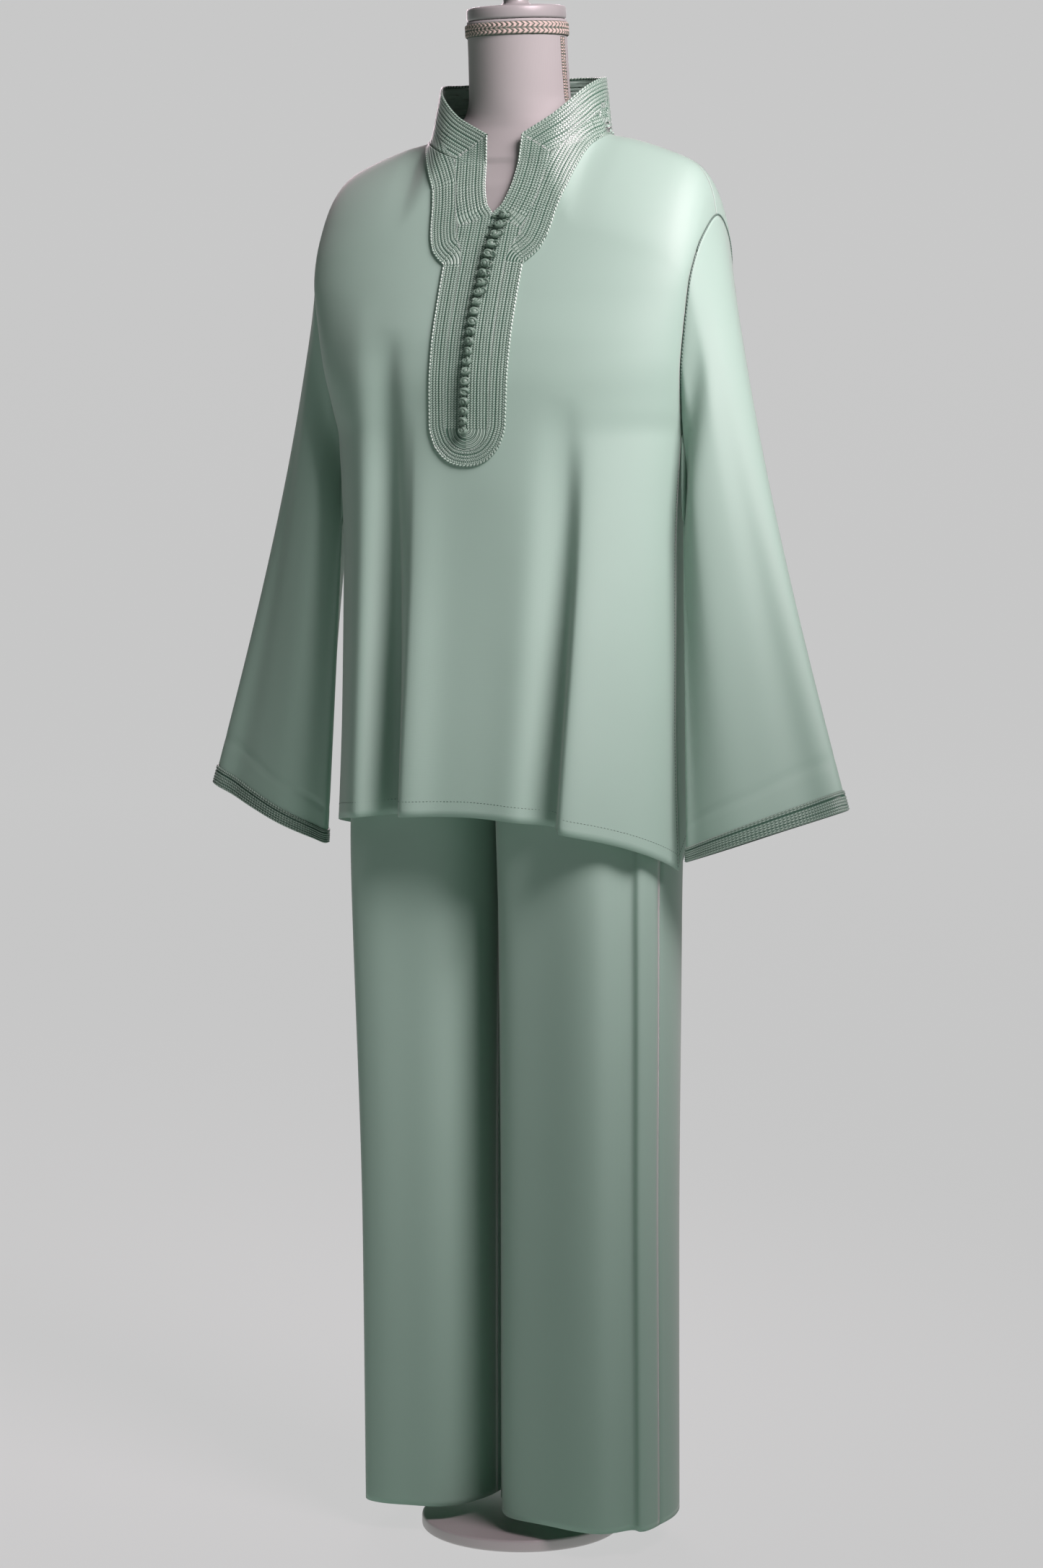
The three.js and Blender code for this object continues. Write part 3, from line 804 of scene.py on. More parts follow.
@dataclass
class Workshop:
    """Places finished pieces: their material, body and CAD nodes."""

    body: str = "root"
    materials: dict[str, bpy.types.Material] = field(default_factory=dict)

    def material(self, finish: Finish) -> bpy.types.Material:
        """Returns the finish's material, made once."""
        if finish.name not in self.materials:
            self.materials[finish.name] = finish.material()
        return self.materials[finish.name]

    def place(
        self, obj: bpy.types.Object, finish: Finish, replaces: Sequence[str] = ()
    ) -> bpy.types.Object:
        """Finishes one piece.

        Args:
            obj: the piece, already in place.
            finish: what it is made of.
            replaces: CAD nodes that it stands for.

        Returns:
            The same object.
        """
        obj.data.materials.append(self.material(finish))
        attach(obj, self.body)
        if replaces:
            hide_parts(*replaces)
        LOG.info("%s: %s", obj.name, finish.name)
        return obj


def normal_of(base: Place, u: Array, v: Array) -> Array:
    """Works out a surface's unit normals from its own slopes.

    Args:
        base: gives the surface's points.
        u: places across it.
        v: places along it.

    Returns:
        One unit vector a point.
    """
    step = 1e-3
    along_u = base(u + step, v) - base(u - step, v)
    along_v = base(u, v + step) - base(u, v - step)
    normal = np.cross(along_u, along_v)
    length = np.linalg.norm(normal, axis=-1, keepdims=True)
    return normal / np.where(length < 1e-12, 1.0, length)


def nearest_on(path: Array, points: Array) -> tuple[Array, Array]:
    """Finds the nearest place on a path for each point.

    Args:
        path: corners of the path, in millimetres.
        points: the points to measure from.

    Returns:
        The distance to the path, and the length along it to the nearest place.
    """
    start, span = path[:-1], np.diff(path, axis=0)
    length = np.linalg.norm(span, axis=1)
    before = np.concatenate([[0.0], np.cumsum(length)[:-1]])
    distance, run = np.empty(len(points)), np.empty(len(points))
    block = 4000
    for low in range(0, len(points), block):
        part = points[low : low + block, None, :]
        t = ((part - start) * span).sum(-1) / np.maximum(length**2, 1e-9)
        t = np.clip(t, 0, 1)
        gap = np.linalg.norm(part - (start + span * t[..., None]), axis=-1)
        best = gap.argmin(axis=1)
        rows = np.arange(len(best))
        distance[low : low + block] = gap[rows, best]
        run[low : low + block] = before[best] + t[rows, best] * length[best]
    return distance, run


def resample(path: Array, step: float) -> Array:
    """Spaces a path's points evenly.

    Args:
        path: corners of the path.
        step: about how far apart the new points are.

    Returns:
        The new points, from one end of the path to the other.
    """
    length = np.linalg.norm(np.diff(path, axis=0), axis=1)
    along = np.concatenate([[0.0], np.cumsum(length)])
    count = max(2, int(along[-1] / step) + 1)
    places = np.linspace(0, along[-1], count)
    return np.stack([np.interp(places, along, path[:, k]) for k in range(3)], axis=1)


def add_tube(bm: bmesh.types.BMesh, path: Array, radius: float, sides: int = 8) -> None:
    """Adds a round cord with its cord map.

    Args:
        bm: the mesh to add to.
        path: the cord's middle line, in millimetres.
        radius: the cord's radius, in millimetres.
        sides: number of faces round it.
    """
    tangent = np.gradient(path, axis=0)
    tangent /= np.linalg.norm(tangent, axis=1, keepdims=True)
    spare = np.where(np.abs(tangent[:, 2:3]) > 0.9, [[0.0, 1.0, 0.0]], [[0.0, 0.0, 1.0]])
    first = np.cross(tangent, spare)
    first /= np.linalg.norm(first, axis=1, keepdims=True)
    second = np.cross(tangent, first)

    def place(u: Array, v: Array) -> Array:
        """Works out points on the cord.

        Args:
            u: places across, 0 to 1.
            v: places along, 0 to 1.

        Returns:
            The points in millimetres.
        """
        index = np.rint(v * (len(path) - 1)).astype(int)
        turn = u * 2 * math.pi
        ring = first[index] * np.cos(turn)[:, None] + second[index] * np.sin(turn)[:, None]
        return path[index] + ring * radius

    def inside(point: Vector) -> Point:
        """Returns the nearest point of the middle line."""
        at = np.array(point[:])
        return tuple(path[np.abs(path * MM - at).sum(axis=1).argmin()] * MM)

    known = set(bm.faces)
    add_grid(bm, sides, len(path) - 1, place, inside)
    length = np.linalg.norm(np.diff(path, axis=0), axis=1).sum()
    map_cord(bm, lambda u, v: (u + v * length / (3.0 * radius), 0.5), known)


def add_stitches(
    bm: bmesh.types.BMesh, path: Array, out: Array, length: float, gap: float
) -> None:
    """Adds a row of small stitches.

    Args:
        bm: the mesh to add to.
        path: the line that they follow, in millimetres.
        out: the way out of the cloth at each point of the path.
        length: one stitch's length.
        gap: the room between two stitches.
    """
    thick = 0.5
    even = resample(path, length + gap)
    new, old = np.linspace(0, 1, len(even)), np.linspace(0, 1, len(out))
    lift = np.stack([np.interp(new, old, out[:, k]) for k in range(3)], axis=1)
    for a, b, raised in zip(even[:-1], even[1:], lift[:-1]):
        middle, along = (a + b) / 2, b - a
        stitch = bmesh.ops.create_icosphere(bm, subdivisions=1, radius=0.5)["verts"]
        along = along / np.linalg.norm(along)
        raised = raised / np.linalg.norm(raised)
        side = np.cross(along, raised)
        for vert in stitch:
            x, y, z = vert.co
            place = middle + along * x * length + side * y * thick + raised * z * thick
            vert.co = place * MM


@dataclass
class Tunic:
    """The tunic's body panels with their seams and stitches."""

    shape: TunicShape
    columns: dict[Face, int] = field(default_factory=lambda: {Face.FRONT: 100, Face.BACK: 78})
    rows: dict[Face, int] = field(default_factory=lambda: {Face.FRONT: 160, Face.BACK: 130})
    cloth_size: tuple[float, float] = (0.2, 0.7)
    path_count: int = 120
    stitch_above_hem: float = 15.0
    stitch_from_side: float = 0.985
    stitch_raise: float = 0.05
    hem_stitch: tuple[float, float] = (2.2, 1.3)
    side_stitch: tuple[float, float] = (2.4, 0.9)
    side_stitch_top: float = 1060.0
    side_stitch_end: float = 2.0

    def panel(self, face: Face) -> bpy.types.Object:
        """Makes the front or the back as one piece of cloth.

        Args:
            face: which of the two.

        Returns:
            The panel, with its wall.
        """
        bm = bmesh.new()
        for side in (-1, 1):

            def place(u: Array, v: Array, side: int = side) -> Array:
                """Returns points of one half of the panel."""
                return self.shape.point(face, side, u, v)

            add_grid(bm, self.columns[face], self.rows[face], place, uv_size=self.cloth_size)
        bmesh.ops.remove_doubles(bm, verts=bm.verts, dist=WELD)
        made = new_object(f"tunic_{face.name.lower()}_cloth", bm)
        thicken(made, self.shape.wall)
        return made

    def hem_path(self, face: Face, above: float) -> Array:
        """Works out the line of the hem's stitches, from the right side to the left.

        Args:
            face: the front or the back.
            above: the line's height over the hem.

        Returns:
            The points in millimetres.
        """
        points = []
        ends = ((-1, (1, 0)), (1, (0, 1)))
        for side, (start, end) in ends:
            shares = np.linspace(start, end, self.path_count)
            z = self.shape.hem(face, side, shares) + above
            x = self.shape.x(face, side, shares, z)
            points.append(stack(x, self.shape.y(face, x, z), z))
        return np.concatenate(points)

    def stitches(self) -> bpy.types.Object:
        """Makes the stitches of the hem and of the two side seams.

        Returns:
            All the stitches as one piece.
        """
        bm = bmesh.new()
        for face in Face:
            path = self.hem_path(face, self.stitch_above_hem)
            out = self.shape.normal(face, path[:, 0], path[:, 2])
            add_stitches(bm, path + out * self.stitch_raise, out, *self.hem_stitch)
        for side in (-1, 1):
            share = np.full(self.path_count // 2, self.stitch_from_side)
            low = float(self.shape.hem(Face.FRONT, side, share[:1])[0]) + self.side_stitch_end
            z = np.linspace(self.side_stitch_top, low, len(share))
            x = self.shape.x(Face.FRONT, side, share, z)
            path = stack(x, self.shape.y(Face.FRONT, x, z), z)
            out = self.shape.normal(Face.FRONT, x, z)
            add_stitches(bm, path + out * self.stitch_raise, out, *self.side_stitch)
        return new_object("tunic_hem_stitches", bm)

    def build(self, shop: Workshop) -> None:
        """Makes and places the body of the tunic.

        Args:
            shop: gives each piece its material and body.
        """
        stitches = shop.place(self.stitches(), SEAM)
        for face in Face:
            panel = shop.place(self.panel(face), MINT, [f"tunic_{face.name.lower()}"])


@dataclass
class Sleeve:
    """One flared sleeve, flat and open at the cuff, with the braid band round its end."""

    shape: TunicShape
    side: Side
    out_start: Point = (214, 0, 1310)
    out_end: Point = (353, -10, 734)
    in_start: Point = (187, -25, 1093)
    in_end: Point = (200, -43, 680)
    seam: float = 1.0
    half_depth: float = 15.0
    hollow: float = 9.0
    dent: float = 17.0
    dent_at: float = 0.13
    dent_width: float = 0.09
    turned: float = 1.3
    turned_at: float = 0.915
    turned_width: float = 0.007
    wall: float = 1.2
    grid: tuple[int, int] = (100, 124)
    cloth_size: tuple[float, float] = (0.36, 0.56)
    length: float = 580.0
    band: float = 18.5
    band_rows: int = 7
    band_end: float = 1.002
    band_body: float = 1.0
    band_relief: float = 0.8
    band_grid: tuple[int, int] = (260, 56)
    band_round: float = 340.0
    plait_run: float = 2.6
    cord_radius: float = 0.9
    band_narrow: tuple[float, float] = (0.22, 0.28)
    folds: tuple[Fold, ...] = (
        Fold(0.14, 0.05, -5, 0),
        Fold(0.3, 0.07, 5, 0),
        Fold(0.42, 0.04, -4, 0),
        Fold(0.64, 0.07, 6, 0),
        Fold(0.78, 0.06, -6, 0),
    )

    def point(self, turn: Array, along: Array) -> Array:
        """Returns points of the sleeve.

        Args:
            turn: 0 at the upper edge, then down the front and up the back to 1.
            along: 0 at the armhole, 1 at the cuff.

        Returns:
            The points in millimetres.
        """
        sign = self.side.value
        turn = np.mod(turn, 1.0)
        fall = (1 - np.cos(turn * 2 * math.pi)) / 2
        around = np.sin(turn * 2 * math.pi)
        z0 = mix(self.shape.armhole_top, self.shape.underarm, fall)
        x0 = self.shape.side_line("x", z0)
        front = self.shape.y(Face.FRONT, x0, z0, 0.0)
        y0 = np.where(turn <= 0.5, front, self.shape.y(Face.BACK, x0, z0, 0.0))
        upper = [mix(a, b, along) for a, b in zip(self.out_start, self.out_end)]
        lower = [mix(a, b, along) for a, b in zip(self.in_start, self.in_end)]
        line = [mix(a, b, fall) for a, b in zip(upper, lower)]
        start = [mix(a, b, fall) for a, b in zip(self.out_start, self.in_start)]
        near = np.maximum(0, 1 - along) ** 1.6
        flat = -np.sign(around) * self.half_depth * np.abs(around) ** 0.7
        fold = sum(f.height(turn) for f in self.folds)
        fold = fold * np.sin(np.minimum(1, along * 1.6) * math.pi / 2) * np.abs(around)
        dent = self.dent * np.abs(around) * bump(along - self.dent_at, self.dent_width)
        fold = fold - dent * fall
        uneven = 0.002 * np.sin(turn * 31)
        crease = self.turned * bump(along - self.turned_at - uneven, self.turned_width)
        fold = fold - crease * np.minimum(1, np.abs(around) * 3)
        hollow = self.hollow * np.sin(along * math.pi) * (1 - fall)
        x = line[0] + self.seam - hollow + (x0 - start[0]) * near
        y = line[1] + (y0 - start[1]) * near + flat * (1 - near) - np.sign(around) * fold
        z = line[2] + (z0 - start[2]) * near
        return stack(sign * x, y, z)

    def axis(self, point: Vector) -> Point:
        """Finds the sleeve's own middle line.

        Args:
            point: a place on the sleeve, in metres.

        Returns:
            The place inside the sleeve at the point's height, in metres.
        """
        along = min(max((1.2 - point.z) / 0.493, 0), 1)
        return (self.side.value * (0.205 + 0.075 * along), -0.02, point.z)

    def cloth(self) -> bpy.types.Object:
        """Makes the sleeve's cloth.

        Returns:
            The cloth, with its wall.
        """
        bm = bmesh.new()
        add_grid(bm, *self.grid, self.point, self.axis, self.cloth_size)
        bmesh.ops.remove_doubles(bm, verts=bm.verts, dist=WELD)
        made = new_object(f"sleeve_{self.side.name.lower()}_cloth", bm)
        thicken(made, self.wall)
        return made

    def row_at(self, share: Array) -> Array:
        """Counts the band's rows: two narrow ones, a groove, then wide ones.

        Args:
            share: 0 at the band's upper edge, 1 at the cuff's end.

        Returns:
            The row count there.
        """
        pair, wide = self.band_narrow
        return np.interp(share, (0, pair, wide, 1), (1, 3, 3, 1 + self.band_rows))

    def braid(self) -> bpy.types.Object:
        """Makes the band of braid rows round the cuff.

        Returns:
            The band.
        """
        start = 1 - self.band / self.length
        bm = bmesh.new()

        def base(u: Array, v: Array) -> Array:
            """Returns the cloth under the band."""
            return self.point(u, mix(start, self.band_end, v))

        def place(u: Array, v: Array) -> Array:
            """Works out the band's face, with its rows raised.

            Args:
                u: places across, 0 to 1.
                v: places along, 0 to 1.

            Returns:
                The points in millimetres.
            """
            outward = normal_of(base, u, v)
            middle = base(u, v)
            axis = np.array([self.axis(Vector(p * MM)) for p in middle]) / MM
            turn = np.sign(((middle - axis) * outward).sum(-1, keepdims=True))
            edge = np.clip(np.minimum(v, 1 - v) * 14, 0, 1) ** 0.5
            relief = np.abs(np.sin(math.pi * self.row_at(v))) ** 0.7
            proud = edge * (self.band_body + self.band_relief * relief)
            return middle + outward * turn * proud[:, None]

        def cord_at(u: float, v: float) -> tuple[float, float]:
            """Returns the run and the row of one corner."""
            return (u * self.band_round / self.plait_run, float(self.row_at(v)))

        add_grid(bm, *self.band_grid, place, self.axis)
        map_cord(bm, cord_at)
        bmesh.ops.remove_doubles(bm, verts=bm.verts, dist=WELD)
        return new_object(f"cuff_braid_{self.side.name.lower()}_rows", bm)

    def seam_cord(self) -> bpy.types.Object:
        """Makes the thin cord that covers the armhole seam.

        Returns:
            The cord.
        """
        turn = np.linspace(0, 1, 161)
        path = self.point(turn, np.full_like(turn, 0.0))
        centre = path.mean(axis=0)
        outward = path - centre
        outward[:, 0] = self.side.value * 20
        outward /= np.linalg.norm(outward, axis=1, keepdims=True)
        bm = bmesh.new()
        add_tube(bm, path + outward * 0.4, self.cord_radius, 6)
        return new_object(f"armhole_cord_{self.side.name.lower()}", bm)

    def build(self, shop: Workshop) -> None:
        """Makes and places the sleeve.

        Args:
            shop: gives each piece its material and body.
        """
        name = self.side.name.lower()
        cord = shop.place(self.seam_cord(), SEAM)
        cloth = shop.place(self.cloth(), MINT, [f"sleeve_{name}"])
        braid = shop.place(self.braid(), BRAID, [f"cuff_braid_{name}"])


@dataclass
class Braidwork:
    """The collar and the plastron: rows of braid laid side by side along their edges."""

    shape: TunicShape
    pitch: float = 3.5
    relief: float = 0.7
    clear: float = 0.5
    body: float = 1.0
    collar_proud: float = 0.6
    blend: float = 8.0
    rows_end: float = 0.46
    tuck: float = 2.0
    tuck_share: float = 0.03
    collar_wall: float = 2.4
    collar_grid: tuple[int, int] = (160, 66)
    collar_turn: float = 0.6
    plastron_grid: tuple[int, int] = (72, 310)
    tip: float = 1064.0
    plait_run: float = 2.4
    edge_radius: float = 1.25
    slit_radius: float = 1.1
    rim_radius: float = 1.3
    cord_step: float = 1.6
    collar_top: Table = field(
        default_factory=lambda: Table(
            "share",
            ("x", "y", "z"),
            (
                (0, 0, 57, 1458),
                (0.25, 45, 52, 1457),
                (0.48, 79, 30, 1453),
                (0.6, 89, 3, 1450),
                (0.74, 80, -28, 1438),
                (0.87, 55, -50, 1413),
                (1, 20, -61, 1392),
            ),
        )
    )
    outline: Table = field(
        default_factory=lambda: Table(
            "z",
            ("half",),
            (
                (1064, 3),
                (1066, 14),
                (1073, 26),
                (1086, 36),
                (1104, 41),
                (1180, 42.5),
                (1262, 43),
                (1268, 50),
                (1278, 59),
                (1296, 65),
                (1316, 68),
                (1340, 73),
                (1366, 82),
                (1382, 89),
                (1395, 99),
            ),
        )
    )

    def neck_point(self, face: Face, side: int, away: Array) -> Array:
        """Works out points on the tunic's neckline.

        Args:
            face: the front or the back.
            side: -1 or 1.
            away: distances from the neckline's middle.

        Returns:
            The points in millimetres.
        """
        share = self.shape.neckline_share(face, away)
        return self.shape.point(face, side, share, np.zeros_like(share))

    def collar_point(self, share: Array, up: Array) -> Array:
        """Returns points of the collar.

        Args:
            share: -1 to 1 from the right front corner round the back to the left one.
            up: 0 on the neckline, 1 at the top edge.

        Returns:
            The points in millimetres.
        """
        side = np.where(share < 0, -1.0, 1.0)
        way = np.abs(share)
        level, neck, turn = self.shape.neck_level, self.shape.neck_half, self.collar_turn
        half, centre = (float(self.shape.slit(name, level)) for name in ("half", "centre"))
        room = float(self.shape.side_line("x", level)) - half
        foot = np.zeros((*np.shape(share), 3))
        for face in Face:
            reach = (1 - way) / (1 - turn) if face is Face.FRONT else way / turn
            bend = np.sin(np.clip(reach, 0, 1) * math.pi / 2)
            here = (way > turn) if face is Face.FRONT else (way <= turn)
            for sign in (-1, 1):
                end = half + room * (neck - half - sign * centre) / (room - sign * centre)
                away = mix(half, end, bend) if face is Face.FRONT else neck * bend
                chosen = here & (side == sign)
                foot[chosen] = self.neck_point(face, sign, away[chosen])
        slant = float(self.shape.slit("centre", 1392.0)) * np.clip((way - turn) / (1 - turn), 0, 1)
        top = stack(
            side * self.collar_top("x", way) + slant,
            self.collar_top("y", way),
            self.collar_top("z", way),
        )
        return mix(foot, top, np.asarray(up)[..., None])

    def slit_edge(self, side: int, count: int = 30) -> Array:
        """Works out one edge of the slit.

        Args:
            side: -1 or 1.
            count: number of points.

        Returns:
            The points from the neckline down to the slit's bottom.
        """
        top = float(self.neck_point(Face.FRONT, side, np.array([21.0]))[0, 2])
        z = np.linspace(top, self.shape.slit_bottom, count)
        x = self.shape.slit("centre", z) + side * self.shape.slit("half", z)
        return stack(x, self.shape.y(Face.FRONT, x, z), z)

    def inner_path(self, side: int) -> Array:
        """Works out the line that the inner rows follow, from the collar's rim downwards.

        Args:
            side: -1 or 1.

        Returns:
            The points in millimetres.
        """
        round_neck = self.collar_point(side * np.linspace(0, 1, 60), np.ones(60))
        front_end = self.collar_point(side * np.ones(8), np.linspace(1, 0, 8))
        z = np.linspace(self.shape.slit_bottom, 1100, 40)
        centre = self.shape.slit("centre", z)
        down = stack(centre, self.shape.y(Face.FRONT, centre, z), z)
        return np.concatenate([round_neck, front_end[1:], self.slit_edge(side), down[1:]])

    def centre(self, z: Array) -> Array:
        """Returns the x of the plastron's middle at a height."""
        return self.shape.slit("centre", z) * np.clip((1400 - z) / 60, 0, 1)

    def outer_edge(self, side: int) -> Array:
        """Works out the plastron's outer edge from the shoulder down to its tip.

        Args:
            side: -1 or 1.

        Returns:
            The points in millimetres.
        """
        z = np.concatenate([np.linspace(1389, 1110, 140), np.linspace(1108, 1064.2, 60)])
        x = self.centre(z) + side * self.outline("half", z)
        x = np.concatenate([x, self.centre(np.array([self.tip]))])
        z = np.concatenate([z, [self.tip]])
        return stack(x, self.shape.y(Face.FRONT, x, z), z)

    def collar_foot(self, side: int) -> Array:
        """Returns the collar's lower edge from the back to the shoulder."""
        return self.collar_point(side * np.linspace(1e-4, self.collar_turn, 60), np.zeros(60))

    def turn_share(self, up: Array) -> Array:
        """Returns the share where the collar's outer rows end, at a height of the collar."""
        return mix(self.collar_turn, self.rows_end, up)

    def outer_path(self, side: int) -> Array:
        """Works out the line that the outer rows follow, from the collar's rim downwards.

        Args:
            side: -1 or 1.

        Returns:
            The points in millimetres.
        """
        up = np.linspace(1, 0, 24)
        above = self.collar_point(side * self.turn_share(up), up)
        return np.concatenate([above, self.outer_edge(side)])

    def collar_normal(self, share: Array, up: Array) -> Array:
        """Works out which way the collar faces.

        Args:
            share: -1 to 1 from the right front corner round the back to the left one.
            up: 0 on the neckline, 1 at the top edge.

        Returns:
            Unit vectors that point out of the collar.
        """
        side = np.where(share < 0, -1.0, 1.0)
        way = np.clip(np.abs(share), 0.002, 0.998)

        def base(a: Array, b: Array) -> Array:
            """Returns the collar's points on the same side."""
            return self.collar_point(side * a, b)

        normal = normal_of(base, way, up)
        middle = self.collar_point(side * way, up)
        outward = (middle[..., :2] * normal[..., :2]).sum(-1, keepdims=True)
        return normal * np.where(outward < 0, -1.0, 1.0)

    def rows(self, points: Array, side: int, behind: Array) -> tuple[Array, Array, Array]:
        """Works out the braid's rows at points of the collar or the plastron.

        Args:
            points: places on the surface.
            side: -1 or 1.
            behind: whether each point lies behind the outer rows, on the back of the collar.

        Returns:
            The row count from the edge, the run along it, and the raised height.
        """
        near, near_run = nearest_on(self.inner_path(side), points)
        far, far_run = nearest_on(self.outer_path(side), points)
        use_inner = (near < far + 6) | behind
        distance = np.where(use_inner, near, far)
        run = np.where(use_inner, near_run, far_run)
        row = distance / self.pitch
        groove = np.minimum(1, 3 * np.abs((row / 3 + 0.5) % 1 - 0.5) / 0.35)
        height = np.abs(np.sin(math.pi * row)) ** 0.6 * self.relief * (0.4 + 0.6 * groove)
        return row, run, height

    def add_patch(
        self,
        bm: bmesh.types.BMesh,
        surface: Callable[[Array, Array], tuple[Array, ...]],
        grid: tuple[int, int],
        side: int,
    ) -> None:
        """Adds one side of the collar or plastron with its rows raised and its cord map.

        Args:
            bm: the mesh to add to.
            surface: gives points, the way out, how far the rows stand off, and which
                points lie behind the outer rows.
            grid: number of faces across and along.
            side: -1 or 1.
        """
        known = set(bm.faces)
        lines = {}

        def place(u: Array, v: Array) -> Array:
            """Works out the raised rows, and keeps each point's run and row.

            Args:
                u: places across, 0 to 1.
                v: places along, 0 to 1.

            Returns:
                The points in millimetres.
            """
            middle, outward, proud, behind = surface(u, v)
            row, run, height = self.rows(middle, side, behind)
            for a, b, r, s in zip(u, v, row, run):
                lines[(round(float(a), 5), round(float(b), 5))] = (s / self.plait_run, r)
            return middle + outward * (proud + height)[:, None]

        add_grid(bm, *grid, place)
        map_cord(bm, lambda u, v: lines.get((round(u, 5), round(v, 5)), (0.0, 0.0)), known)

    def plastron(self) -> bpy.types.Object:
        """Makes the plastron's braided face.

        Returns:
            The plastron, with its wall.
        """
        bm = bmesh.new()
        bm.loops.layers.uv.new("UVMap")
        bm.loops.layers.uv.new("cord")
        for side in (-1, 1):

            def surface(u: Array, v: Array, side: int = side) -> tuple[Array, ...]:
                """Works out the plastron's points, the way out and the stand-off.

                Args:
                    u: places across, 0 to 1.
                    v: places along, 0 to 1.

                Returns:
                    Four arrays, a row a point. No point of the plastron lies behind the outer rows.
                """
                neck = np.full_like(u, 1394.0)
                for _ in range(8):
                    z = mix(neck, self.tip, v)
                    slit = np.where(z > self.shape.slit_bottom, self.shape.slit("half", z), 0.0)
                    inner = self.shape.slit("centre", z) + side * slit
                    x = mix(inner, self.centre(z) + side * self.outline("half", z), u)
                    from_slit = np.abs(x - self.shape.slit("centre", z) * (1 - u))
                    neck = self.shape.neckline("front", from_slit)
                middle = stack(x, self.shape.y(Face.FRONT, x, z), z)
                near = np.clip(1 - (neck - z) / self.blend, 0, 1) ** 2
                bend = np.clip((from_slit - 20) / (self.shape.neck_half - 20), 0, 1)
                share = side * (1 - (1 - self.collar_turn) * np.arcsin(bend) * 2 / math.pi)
                collar = self.collar_normal(share, np.zeros_like(share))
                outward = self.shape.normal(Face.FRONT, x, z) + collar * near[:, None]
                outward /= np.linalg.norm(outward, axis=1, keepdims=True)
                proud = np.full_like(u, self.clear + self.body)
                return middle, outward, proud, np.zeros(len(u), bool)

            self.add_patch(bm, surface, self.plastron_grid, side)
        bmesh.ops.remove_doubles(bm, verts=bm.verts, dist=WELD)
        made = new_object("plastron_braid", bm)
        thicken(made, self.body * 0.8)
        return made

    def collar(self) -> bpy.types.Object:
        """Makes the collar with its rows of braid.

        Returns:
            The collar, with its wall and a second material inside.
        """
        bm = bmesh.new()
        bm.loops.layers.uv.new("UVMap")
        bm.loops.layers.uv.new("cord")
        for side in (-1, 1):

            def surface(u: Array, v: Array, side: int = side) -> tuple[Array, ...]:
                """Works out the collar's points, the way out and the stand-off.

                Args:
                    u: places across, 0 to 1.
                    v: places along, 0 to 1.

                Returns:
                    Four arrays, a row a point. The last says which points lie behind the outer rows.
                """
                share = side * np.clip(u, 1e-4, 1)
                tuck = np.clip(1 - v / self.tuck_share, 0, 1)
                v = np.clip((v - self.tuck_share) / (1 - self.tuck_share), 0, 1)
                middle = self.collar_point(share, v)
                foot = self.collar_point(share, np.zeros_like(v))
                near = np.clip(1 - np.linalg.norm(middle - foot, axis=1) / self.blend, 0, 1) ** 2
                back = self.shape.normal(Face.BACK, foot[:, 0], foot[:, 2])
                front = self.shape.normal(Face.FRONT, foot[:, 0], foot[:, 2])
                cloth = mix(back, front, np.clip((u - 0.5) / 0.1, 0, 1)[:, None])
                outward = self.collar_normal(share, v) + cloth * near[:, None]
                outward /= np.linalg.norm(outward, axis=1, keepdims=True)
                rise = self.collar_point(share, np.full_like(v, 0.1)) - foot
                rise -= cloth * (rise * cloth).sum(-1, keepdims=True)
                rise /= np.linalg.norm(rise, axis=1, keepdims=True)
                middle = middle - rise * (self.tuck * tuck)[:, None]
                proud = mix(self.collar_proud, self.clear + self.body, near) - tuck * 0.7
                return middle, outward, proud, u < self.turn_share(v)

            self.add_patch(bm, surface, self.collar_grid, side)
        bmesh.ops.remove_doubles(bm, verts=bm.verts, dist=1e-5)
        made = new_object("collar_braid", bm)
        thicken(made, self.collar_wall)
        made.modifiers["Thickness"].material_offset = 1
        return made

    def edge_cords(self) -> bpy.types.Object:
        """Makes the plain cords along the outer edge and the rim.

        Returns:
            All the cords as one piece.
        """
        bm = bmesh.new()
        for side in (-1, 1):
            foot = self.collar_foot(side)
            away = foot * np.array([1.0, 1.0, 0.0])
            away = away / np.linalg.norm(away, axis=1, keepdims=True) + np.array([0, 0, 0.3])
            edge = self.outer_edge(side)
            out = self.shape.normal(Face.FRONT, edge[:, 0], edge[:, 2])
            path = np.concatenate([foot[:-2] + away[:-2] * 1.3, edge[2:] + out[2:] * 1.3])
            add_tube(bm, resample(path, self.cord_step), self.edge_radius)
            ends = self.collar_point(side * np.ones(8), np.linspace(1, 0, 8))
            opening = resample(np.concatenate([ends, self.slit_edge(side)[1:]]), 1.5)
            out = self.shape.normal(Face.FRONT, opening[:, 0], np.minimum(opening[:, 2], 1385))
            add_tube(bm, opening + out * 1.0, self.slit_radius)
        rim = self.collar_point(np.linspace(-1, 1, 241), np.ones(241))
        rim = resample(rim, self.cord_step) + np.array([0, 0, 0.4])
        add_tube(bm, rim, self.rim_radius)
        return new_object("edge_cords", bm)

    def build(self, shop: Workshop) -> None:
        """Makes and places the collar, the plastron and their cords.

        Args:
            shop: gives each piece its material and body.
        """
        cords = shop.place(self.edge_cords(), BRAID)
        collar = shop.place(self.collar(), BRAID, ["collar"])
        collar.data.materials.append(shop.material(MINT))
        plastron = shop.place(self.plastron(), BRAID, ["plastron"])


